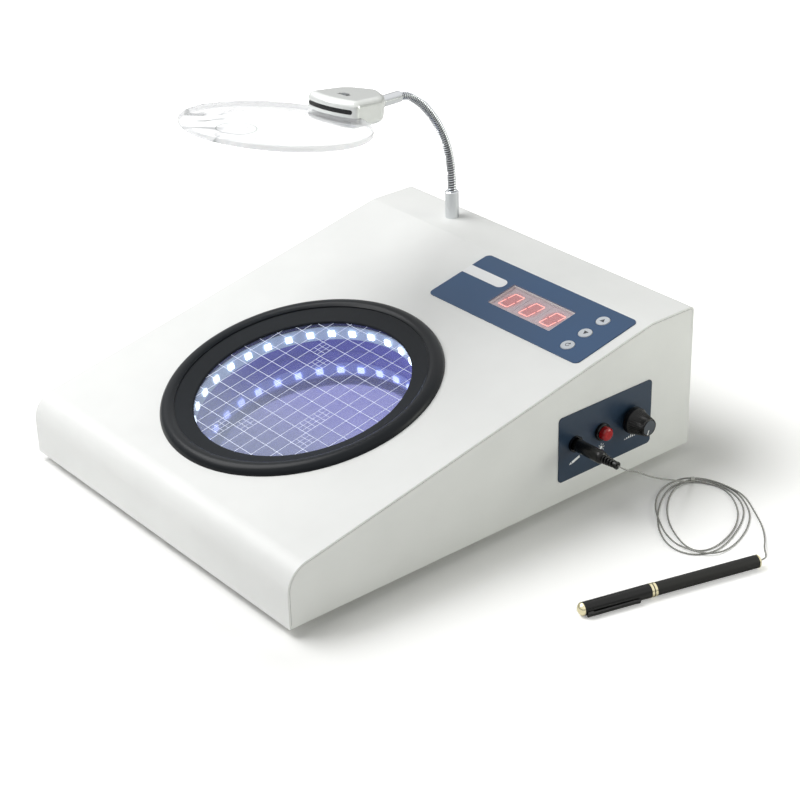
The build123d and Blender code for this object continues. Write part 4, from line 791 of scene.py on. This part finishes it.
class DisplayOperator(bpy.types.Operator):
    """Finish the display panel: film, window, lit digits, key faces and the blank tag"""
    bl_idname = "counter.light_display"
    bl_label = "Light display"

    def execute(self, context):
        colour = tuple(context.scene.counter_finish.film)
        film = Finish("Panel film", colour, Roughness=0.4, Specular_IOR_Level=0.35)
        film.grain(1800.0, 0.18, worn=tuple(level * 1.06 for level in colour), gloss=(0.38, 0.46))
        dress(film.material, "display_overlay")
        window = Finish("Display window", (0.80, 0.70, 0.73), Roughness=0.12, Alpha=0.16, IOR=1.49)
        window.grain(800.0, 0.05, gloss=(0.1, 0.2))
        dress(window.material, "display_window")
        face = moulded("Digit module", (0.86, 0.82, 0.84), (0.82, 0.78, 0.8), gloss=(0.4, 0.5))
        dress(face, "digit_modules")
        keycap = moulded("Key silver", (0.80, 0.82, 0.84), (0.76, 0.78, 0.8), gloss=(0.3, 0.42))
        dress(keycap, *KEY_MARKS)
        self.light_digits()
        self.mark_keys()
        self.lay_tag()
        return {"FINISHED"}

    @staticmethod
    def light_digits():
        lit = Finish("Lit segment", (1.0, 0.74, 0.7), Roughness=0.4, Emission_Strength=1.3,
                     Emission_Color=tone((1.0, 0.62, 0.57)))
        lit.grain(900.0, 0.05)
        glow = DisplayOperator.glow_material()
        bm, haze = bmesh.new(), bmesh.new()
        slant = Matrix.Identity(4)
        slant[0][1] = sin(DIGIT_LEAN)
        for place in (-1, 0, 1):
            half_w, half_h = DIGIT_W / 2, DIGIT_H / 2
            spots = [((-half_w, -half_h), (half_w, -half_h)), ((-half_w, half_h), (half_w, half_h))]
            spots += [((side * half_w, end * 0.6 * MM), (side * half_w, end * (half_h - 0.3 * MM)))
                      for side in (-1, 1) for end in (-1, 1)]
            shift = Matrix.Translation((place * DIGIT_PITCH, 0, 0)) @ slant
            for start, end in spots:
                run = (Vector(end) - Vector(start)).normalized() * STROKE * 0.55
                start, end = Vector(start) + run * 0.8, Vector(end) - run * 0.8
                across = Vector((-run.y, run.x))
                corners = [start - run, start + across, end + across, end + run, end - across, start - across]
                add_outline(bm, [(shift @ Vector((*corner, 0))).to_2d() for corner in corners], 0.06 * MM, INK_T)
            # One quad of painted red glow round each digit.
            made = bmesh.ops.create_grid(haze, x_segments=1, y_segments=1, size=0.5, calc_uvs=True)["verts"]
            grow = Matrix.Translation((place * DIGIT_PITCH, 0, 0)) @ Matrix.Diagonal((18.6 * MM, 23 * MM, 1, 1))
            bmesh.ops.transform(haze, matrix=grow, verts=made)
        face = SLOPE @ Matrix.Translation((*WINDOW, MODULE_TOP))
        piece("lit_digits", bm, lit.material, "root", transform=face)
        uv = haze.loops.layers.uv.verify()
        for quad in haze.faces:
            for loop, corner in zip(quad.loops, ((0, 0), (1, 0), (1, 1), (0, 1))):
                loop[uv].uv = corner
        piece("digit_glow", haze, glow, "root", transform=face @ Matrix.Translation((0, 0, 0.03 * MM)))

    @staticmethod
    def glow_material():
        """Red glow painted round each lit digit, fading out towards the module's edge."""
        made = Finish("Painted digit glow", (0.96, 0.55, 0.52), Roughness=0.6, Emission_Strength=0.08,
                      Emission_Color=tone((1.0, 0.35, 0.33)))
        uv = add_node(made.tree, "ShaderNodeTexCoord").outputs["UV"]
        centre = add_node(made.tree, "ShaderNodeMapping",
                          {"Vector": uv, "Location": (-1.0, -1.0, 0), "Scale": (2.0, 2.0, 0)}).outputs["Vector"]
        fade = add_node(made.tree, "ShaderNodeTexGradient", {"Vector": centre}, gradient_type="SPHERICAL")
        made.feed(made.shader, Alpha=span(made.tree, fade.outputs["Fac"], 0, 0.6, 0, 0.5, smooth=True))
        return made.material

    @staticmethod
    def mark_keys():
        """Up and down arrows, and a turned arrow for reset."""
        ink = shared("Key ink", printed, (0.16, 0.17, 0.2))
        for name, height in KEY_MARKS.items():
            bm = bmesh.new()
            if name == "key_reset":
                ring = bmesh.ops.create_circle(bm, cap_ends=False, radius=1.7 * MM, segments=24)["verts"]
                gone = [vert for vert in ring if vert.co.x > 0.4 * MM and vert.co.y > 0.4 * MM]
                bmesh.ops.delete(bm, geom=gone, context="VERTS")
                arc = bmesh.ops.extrude_edge_only(bm, edges=bm.edges[:])["geom"]
                inner = [item for item in arc if isinstance(item, bmesh.types.BMVert)]
                bmesh.ops.scale(bm, vec=(0.72, 0.72, 1), verts=inner)
                thicken(bm, bm.verts[:], INK_T)
                tip = [(0.1, 2.6), (0.1, 0.5), (1.6, 1.55)]
                add_outline(bm, [(x * MM, y * MM) for x, y in tip], 0, INK_T)
            else:
                way = 1 if name == "key_up" else -1
                corners = [(-1.9, -1.4 * way), (1.9, -1.4 * way), (0, 1.9 * way)]
                add_outline(bm, [(x * MM, y * MM) for x, y in corners][::way], 0, INK_T)
            face = SLOPE @ Matrix.Translation((KEY_X, height, KEY_TOP + 0.01 * MM))
            piece(f"{name}_mark", bm, ink, name, transform=face)

    @staticmethod
    def lay_tag():
        """The blank white tag, cut square at the film's edge and round at its other end."""
        left, right, low, high = TAG
        radius = (high - low) / 2
        middle = (low + high) / 2
        steps = 16
        arc = [(right - radius + radius * cos(turn), middle + radius * sin(turn))
               for turn in (-pi / 2 + pi * step / steps for step in range(steps + 1))]
        bm = bmesh.new()
        add_outline(bm, [(left, low), *arc, (left, high)], PANEL_T + 0.01 * MM, INK_T)
        piece("blank_tag", bm, white_ink(), "root", transform=SLOPE)


# ------------------------------------------------------------------ the side controls
SIDE_FACE = side_high.x + 0.01 * MM
CONTROL_Z = (jack_low.z + jack_high.z) / 2
JACK_Y = (jack_low.y + jack_high.y) / 2
KNOB_Y = (knob_low.y + knob_high.y) / 2
button_low, button_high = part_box("button_body")
BUTTON_Y = (button_low.y + button_high.y) / 2
KNOB_R = 9.5 * MM
KNOB_TIP_R = 6.2 * MM
KNOB_RIBS = 36


class ControlsOperator(bpy.types.Operator):
    """Finish the side panel: film, jack, red light button, dimmer knob and their marks"""
    bl_idname = "counter.finish_controls"
    bl_label = "Finish side controls"

    def execute(self, context):
        colour = tuple(context.scene.counter_finish.side_film)
        film = Finish("Side film", colour, Roughness=0.3, Specular_IOR_Level=0.4)
        film.grain(1500.0, 0.1, worn=tuple(level * 1.06 for level in colour), gloss=(0.28, 0.33))
        dress(film.material, "side_overlay")
        black = moulded("Control black", (0.03, 0.035, 0.035), (0.05, 0.05, 0.05), gloss=(0.2, 0.3), shine=0.3)
        dress(black, "button_body", "jack_socket", "pot_body")
        dress(plated("Pin chrome", (0.62, 0.63, 0.65)), "plug_pin")
        dress(plated("Nut dark chrome", (0.2, 0.205, 0.21)), "mounting_nuts")
        dress(plated("Shaft steel", (0.6, 0.61, 0.62), gloss=(0.2, 0.35)), "pot_shaft")
        red = Finish("Button red", (0.72, 0.06, 0.07), Roughness=0.22, Subsurface_Weight=0.08)
        red.grain(500.0, 0.05, worn=(0.62, 0.05, 0.06), gloss=(0.08, 0.14))
        dress(red.material, "button_cap")
        self.turn_knob(black)
        self.print_marks()
        return {"FINISHED"}

    @staticmethod
    def turn_knob(black):
        """Fluted black knob with a spun metal disc and a white pointer."""
        length = knob_high.x - knob_low.x
        bm = bmesh.new()
        profile = [(0, 0), (KNOB_R - 0.5 * MM, 0), (KNOB_R, 0.5 * MM), (KNOB_R - 0.1 * MM, 3.6 * MM),
                   (KNOB_R - 0.7 * MM, 4.2 * MM), (KNOB_R - 0.9 * MM, 4.8 * MM),
                   (KNOB_TIP_R + 0.3 * MM, length - 1.4 * MM),
                   (KNOB_TIP_R + 0.2 * MM, length - 0.8 * MM), (KNOB_TIP_R - 0.2 * MM, length - 0.2 * MM),
                   (KNOB_TIP_R - 0.6 * MM, length), (KNOB_TIP_R - 1.0 * MM, length - 0.25 * MM),
                   (0, length - 0.25 * MM)]
        turned(bm, profile, steps=KNOB_RIBS * 4)
        for vert in bm.verts:
            if 4.5 * MM < vert.co.z < length - 0.5 * MM and vert.co.xy.length > KNOB_TIP_R - 0.1 * MM:
                rib = cos(atan2(vert.co.y, vert.co.x) * KNOB_RIBS)
                vert.co.xy *= 1 - (0.012 if rib > 0.5 else 0.055 if rib < -0.5 else 0.034)
        place = Matrix.Translation((knob_low.x, KNOB_Y, CONTROL_Z)) @ Matrix.Rotation(pi / 2, 4, "Y")
        knob = piece("fluted_knob", bm, black, "brightness_knob", transform=place)
        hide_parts("knob")
        face = bmesh.new()
        add_disc(face, KNOB_TIP_R - 1.05 * MM, 0.12 * MM, 64)
        spun = Finish("Spun disc", (0.36, 0.38, 0.4), Metallic=1.0, Roughness=0.3, Anisotropic=0.5)
        spun.grain(900.0, 0.3, gloss=(0.25, 0.4))
        top = Matrix.Translation((knob_high.x - 0.24 * MM, KNOB_Y, CONTROL_Z)) @ Matrix.Rotation(pi / 2, 4, "Y")
        piece("knob_disc", face, spun.material, "brightness_knob", transform=top)
        line = bmesh.new()
        add_bar(line, (1.6 * MM, 0), (5.0 * MM, 0), 0.8 * MM, 0.13 * MM, 0.08 * MM)
        turn = Matrix.Rotation(radians(-20), 4, "Z")
        piece("knob_pointer", line, white_ink(), "brightness_knob",
              transform=top @ turn)

    @staticmethod
    def print_marks():
        """A pen under the jack, a lamp under the button and a dimmer wedge under the knob."""
        bm = bmesh.new()
        tilt = Matrix.Translation((JACK_Y, CONTROL_Z - 12.6 * MM, 0)) @ Matrix.Rotation(radians(18), 4, "Z")
        barrel = [(-2.4, -0.9), (4.8, -0.9), (4.8, 0.9), (-2.4, 0.9)]
        nib = [(-5.2, 0), (-2.9, -0.9), (-2.9, 0.9)]
        for shape in (barrel, nib):
            add_outline(bm, [(tilt @ Vector((x * MM, y * MM, 0))).to_2d() for x, y in shape], 0, INK_T)
        bulb = (BUTTON_Y, CONTROL_Z - 12.0 * MM)
        add_disc(bm, 1.2 * MM, INK_T, 20, centre=bulb)
        for ray in range(8):
            turn = ray * pi / 4
            start = (bulb[0] + 1.9 * MM * cos(turn), bulb[1] + 1.9 * MM * sin(turn))
            end = (bulb[0] + 3.1 * MM * cos(turn), bulb[1] + 3.1 * MM * sin(turn))
            add_bar(bm, start, end, 0.45 * MM, 0, INK_T)
        for step in range(6):
            foot = (KNOB_Y + (1.8 * step - 4.5) * MM, CONTROL_Z - 14.6 * MM)
            add_bar(bm, foot, (foot[0], foot[1] + (0.6 + 0.5 * step) * MM), 0.9 * MM, 0, INK_T)
        wall = Matrix(((0, 0, 1, SIDE_FACE), (1, 0, 0, 0), (0, 1, 0, 0), (0, 0, 0, 1)))
        piece("control_marks", bm, white_ink(), "root", transform=wall)


# ------------------------------------------------------------------ the gooseneck
NECK_BODIES = ("neck_foot", "neck_2", "neck_3", "neck_4", "neck_5", "neck_6", "neck_7", "neck_8")
WIND_STEPS = 28


def neck_inside(angle):
    """Direction from the gooseneck's centreline to the middle of its bend."""
    return neck_ahead * cos(angle) - Vector((0, 0, 1)) * sin(angle)


class NeckOperator(bpy.types.Operator):
    """Wind the gooseneck link by link, and plate its ferrules"""
    bl_idname = "counter.wind_neck"
    bl_label = "Wind gooseneck"

    def execute(self, context):
        sizes = context.scene.counter_neck
        chrome = plated("Neck chrome", (0.82, 0.83, 0.84), gloss=(0.08, 0.16))
        dress(chrome, "neck_foot", "neck_tip")
        # The core inside the winds is real; its near-black colour is painted shade, so the gaps between the winds read
        # dark.
        core = moulded("Neck core shade", (0.03, 0.03, 0.035), (0.05, 0.05, 0.05))
        base = Vector(((foot_low.x + foot_high.x) / 2, (foot_low.y + foot_high.y) / 2, foot_high.z))
        start, angle = base, 0.0
        for number, turn in enumerate(LINK_TURNS):
            radius = LINK_LENGTH / turn
            centre = start + neck_inside(angle) * radius
            self.wind_link(number, centre, radius, angle, turn, sizes, chrome, core)
            angle += turn
            start = centre - neck_inside(angle) * radius
        return {"FINISHED"}

    @staticmethod
    def bend(bm, centre, radius, angle, turn):
        """Carries points from a straight link along Z on to the link's own arc."""
        for vert in bm.verts:
            here = angle + turn * vert.co.z / LINK_LENGTH
            vert.co = centre - neck_inside(here) * (radius - vert.co.x) + neck_side * vert.co.y

    def wind_link(self, number, centre, radius, angle, turn, sizes, chrome, core):
        outer = 3.4 * MM
        pitch = LINK_LENGTH / sizes.winds
        bm = bmesh.new()
        wind(bm, outer - sizes.wire / 2, sizes.wire / 2, pitch, sizes.winds - 0.3, WIND_STEPS, start=0.15 * pitch)
        self.bend(bm, centre, radius, angle, turn)
        made = piece(f"neck_winding_{number + 1}", bm, chrome, NECK_BODIES[number])
        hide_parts(f"neck_link_{number + 1}")
        tube = bmesh.new()
        inner = outer - sizes.wire * 0.95
        end = 0.22 * MM
        turned(tube, [(0, end)] + [(inner, end + (LINK_LENGTH - 2 * end) * step / 6) for step in range(7)]
               + [(0, LINK_LENGTH - end)], steps=24)
        self.bend(tube, centre, radius, angle, turn)
        piece(f"neck_core_{number + 1}", tube, core, NECK_BODIES[number])


# ------------------------------------------------------------------ the magnifier
class MagnifierOperator(bpy.types.Operator):
    """Finish the lens, its silver head, lamp strip and slider"""
    bl_idname = "counter.finish_magnifier"
    bl_label = "Finish magnifier"

    def execute(self, context):
        self.finish_lens()
        silver = Finish("Head silver", (0.95, 0.96, 0.95), Metallic=0.3, Roughness=0.22)
        silver.grain(1500.0, 0.1, worn=(0.9, 0.91, 0.9), gloss=(0.16, 0.26))
        dress(silver.material, "head_upper", "head_lower")
        dress(moulded("Lamp strip black", (0.08, 0.085, 0.09), (0.12, 0.12, 0.12), gloss=(0.2, 0.3)), "lamp_window")
        dress(moulded("Slider grey", (0.5, 0.51, 0.52), (0.45, 0.46, 0.47)), "head_switch")
        return {"FINISHED"}

    @staticmethod
    def finish_lens():
        """Clear acrylic; grey lines along its ground edge and the foot of its small insert are painted light bent
        there, and grey streaks towards its outer end are painted reflections.
        """
        made = Finish("Lens acrylic", (0.95, 0.955, 0.965), Roughness=0.03, IOR=1.49).grain(22.0, 0.02)
        here = made.local(LENS)
        rings = made.effect(lens_effect(), Vector=here)
        # Grey streaks painted towards the outer end stand in for reflections on the lens.
        streaks = add_node(made.tree, "ShaderNodeTexNoise",
                           {"Vector": here, "Scale": 19.0, "Detail": 1.0, "Distortion": 2.4})
        reflection_streaks = span(made.tree, streaks.outputs["Fac"], 0.47, 0.57, smooth=True)
        soft = calc(made.tree, "MULTIPLY", calc(made.tree, "MULTIPLY", reflection_streaks, rings["Outer end"]), STREAK_SHADE)
        mask = calc(made.tree, "MAXIMUM", soft, rings["Lines"])
        made.tint(mask, (0.93, 0.935, 0.945), (0.5, 0.53, 0.53))
        made.feed(made.shader, Alpha=span(made.tree, mask, 0, 1, 0.4, 0.85))
        dress(made.material, "lens")


# ------------------------------------------------------------------ the pen
class PenOperator(bpy.types.Operator):
    """Finish the counting pen: barrel, glossy cap, clip, gold trims and point"""
    bl_idname = "counter.finish_pen"
    bl_label = "Finish pen"

    def execute(self, context):
        matte = moulded("Pen black", (0.1, 0.1, 0.095), (0.13, 0.13, 0.12), gloss=(0.5, 0.62), scale=1600.0, shine=0.3)
        dress(matte, "pen_barrel")
        cap = moulded("Cap black", (0.05, 0.055, 0.05), (0.07, 0.07, 0.07), gloss=(0.24, 0.34), shine=0.35)
        dress(cap, "pen_cap")
        dress(moulded("Clip black", (0.05, 0.05, 0.05), (0.07, 0.07, 0.07), gloss=(0.12, 0.2)), "pen_clip")
        gold = tuple(context.scene.counter_finish.gold)
        dress(plated("Trim gold", gold, gloss=(0.14, 0.24)), "cap_trims", "barrel_ring")
        dress(plated("Point steel", (0.7, 0.7, 0.7)), "pen_tip")
        return {"FINISHED"}


# ------------------------------------------------------------------ the stage
FLOOR_LIFT = 0.85       # glow of the floor at FLOOR_FAR from the housing's sides
FLOOR_NEAR = 0.02
FLOOR_FAR = 0.28
KEY_LAMP = (1.2, (-0.7, -0.55, 1.35))   # size and place, in metres
REAR_LAMP = (0.6, (0.85, 0.85, 0.36))
LAMP_AIM = (0, 0, 0.1)


def seen_by_eye(tree):
    """Whether a ray comes from the camera or through glass."""
    path = add_node(tree, "ShaderNodeLightPath").outputs
    return calc(tree, "MAXIMUM", path["Is Camera Ray"], path["Is Transmission Ray"])


def floor_glow(tree, place):
    """The floor's glow, which grows with the distance from the housing's sides, leaving the floor next to the housing
    darker as a painted shadow.
    """
    half = ((cover_high.x - cover_low.x) / 2, (cover_high.y - cover_low.y) / 2, 0)
    away = calc_vector(tree, "ABSOLUTE", calc_vector(tree, "SUBTRACT", place, BODY_MID))
    past = calc_vector(tree, "MAXIMUM", calc_vector(tree, "SUBTRACT", away, half), (0, 0, 0))
    return span(tree, calc_vector(tree, "LENGTH", past), FLOOR_NEAR, FLOOR_FAR, 0, FLOOR_LIFT)


class StageOperator(bpy.types.Operator):
    """Set up the camera, the soft lamps and the pale floor"""
    bl_idname = "counter.set_stage"
    bl_label = "Set stage"

    def execute(self, context):
        setup = context.scene.counter_stage
        self.aim_camera(context, setup)
        self.lay_floor(context)
        self.light_world(context, setup)
        self.hang_lamp(context, "key_lamp", setup.key_power, *KEY_LAMP)
        self.hang_lamp(context, "rear_lamp", setup.rear_power, *REAR_LAMP)
        bpy.data.lights["rear_lamp"].color = (0.98, 1.0, 0.9)
        context.scene.view_settings.view_transform = "Standard"
        return {"FINISHED"}

    @staticmethod
    def aim_camera(context, setup):
        turn, lift, roll = setup.azimuth, setup.elevation, setup.roll
        back = Vector((sin(turn) * cos(lift), -cos(turn) * cos(lift), sin(lift)))
        right = Vector((cos(turn), sin(turn), 0))
        above = back.cross(right)
        tilted = right * cos(roll) + above * sin(roll)
        upright = above * cos(roll) - right * sin(roll)
        lens = bpy.data.cameras.new("camera")
        lens.lens = setup.focal_length
        lens.sensor_width = 36.0
        lens.clip_start, lens.clip_end = 0.05, 50.0
        camera = bpy.data.objects.new("camera", lens)
        context.scene.collection.objects.link(camera)
        camera.matrix_world = (Matrix.Translation(BODY_MID + Vector(setup.stand))
                               @ Matrix((tilted, upright, back)).transposed().to_4x4())
        context.scene.camera = camera

    @staticmethod
    def lay_floor(context):
        bm = bmesh.new()
        bmesh.ops.create_grid(bm, x_segments=1, y_segments=1, size=6.0)
        bmesh.ops.translate(bm, verts=bm.verts, vec=(0, 0, -0.05 * MM))
        mesh = bpy.data.meshes.new("floor")
        bm.to_mesh(mesh)
        bm.free()
        floor = bpy.data.objects.new("floor", mesh)
        context.scene.collection.objects.link(floor)
        pale = Finish("Pale floor", (0.985, 0.985, 0.98), Roughness=0.9, Specular_IOR_Level=0.0,
                      Emission_Color=(1, 1, 1, 1))
        glow = calc(pale.tree, "MULTIPLY", seen_by_eye(pale.tree), floor_glow(pale.tree, pale.place()))
        pale.feed(pale.shader, Emission_Strength=glow)
        mesh.materials.append(pale.material)

    @staticmethod
    def light_world(context, setup):
        """White to the camera and through glass, a dark horizon in gloss, a plain light to the rest."""
        world = bpy.data.worlds.new("studio")
        context.scene.world = world
        world.use_nodes = True
        tree = world.node_tree
        level = span(tree, seen_by_eye(tree), 0, 1, setup.ambient, 1.0)
        bearing = add_node(tree, "ShaderNodeTexCoord").outputs["Generated"]
        sky = span(tree, part_of(tree, bearing, "Z"), -0.1, 0.55, 0.16, 1.1, smooth=True)
        glossy = add_node(tree, "ShaderNodeLightPath").outputs["Is Glossy Ray"]
        choice = add_node(tree, "ShaderNodeMix", {"Factor": glossy, "A": level, "B": sky}, data_type="FLOAT")
        plain = tree.nodes["Background"]
        give(tree, plain, "Color", (1, 1, 1, 1))
        give(tree, plain, "Strength", choice.outputs["Result"])

    @staticmethod
    def hang_lamp(context, name, power, size, place):
        light = bpy.data.lights.new(name, "AREA")
        light.energy = power
        light.size = size
        lamp = bpy.data.objects.new(name, light)
        context.scene.collection.objects.link(lamp)
        lamp.location = place
        lamp.rotation_mode = "QUATERNION"
        lamp.rotation_quaternion = (Vector(LAMP_AIM) - Vector(place)).to_track_quat("-Z", "Y")


STEPS = (StageOperator, LeadOperator, HousingOperator, RearOperator, DishOperator, DisplayOperator,
         ControlsOperator, NeckOperator, MagnifierOperator, PenOperator)


class VIEW3D_PT_colony_counter(bpy.types.Panel):
    """Buttons and sizes of the colony counter"""
    bl_label = "Colony Counter"
    bl_space_type = "VIEW_3D"
    bl_region_type = "UI"
    bl_category = "Counter"

    def draw(self, context):
        for step in STEPS:
            self.layout.operator(step.bl_idname)
        for name, group in SETTINGS.items():
            for prop in group.__annotations__:
                self.layout.prop(getattr(context.scene, name), prop)


def register():
    for group in SETTINGS.values():
        bpy.utils.register_class(group)
    for name, group in SETTINGS.items():
        setattr(bpy.types.Scene, name, PointerProperty(type=group))
    for step in STEPS:
        bpy.utils.register_class(step)
    bpy.utils.register_class(VIEW3D_PT_colony_counter)


def unregister():
    bpy.utils.unregister_class(VIEW3D_PT_colony_counter)
    for step in reversed(STEPS):
        bpy.utils.unregister_class(step)
    for name, group in SETTINGS.items():
        delattr(bpy.types.Scene, name)
        bpy.utils.unregister_class(group)


def main():
    register()
    for step in STEPS:
        family, action = step.bl_idname.split(".")
        getattr(getattr(bpy.ops, family), action)()


if __name__ == "__main__":
    main()
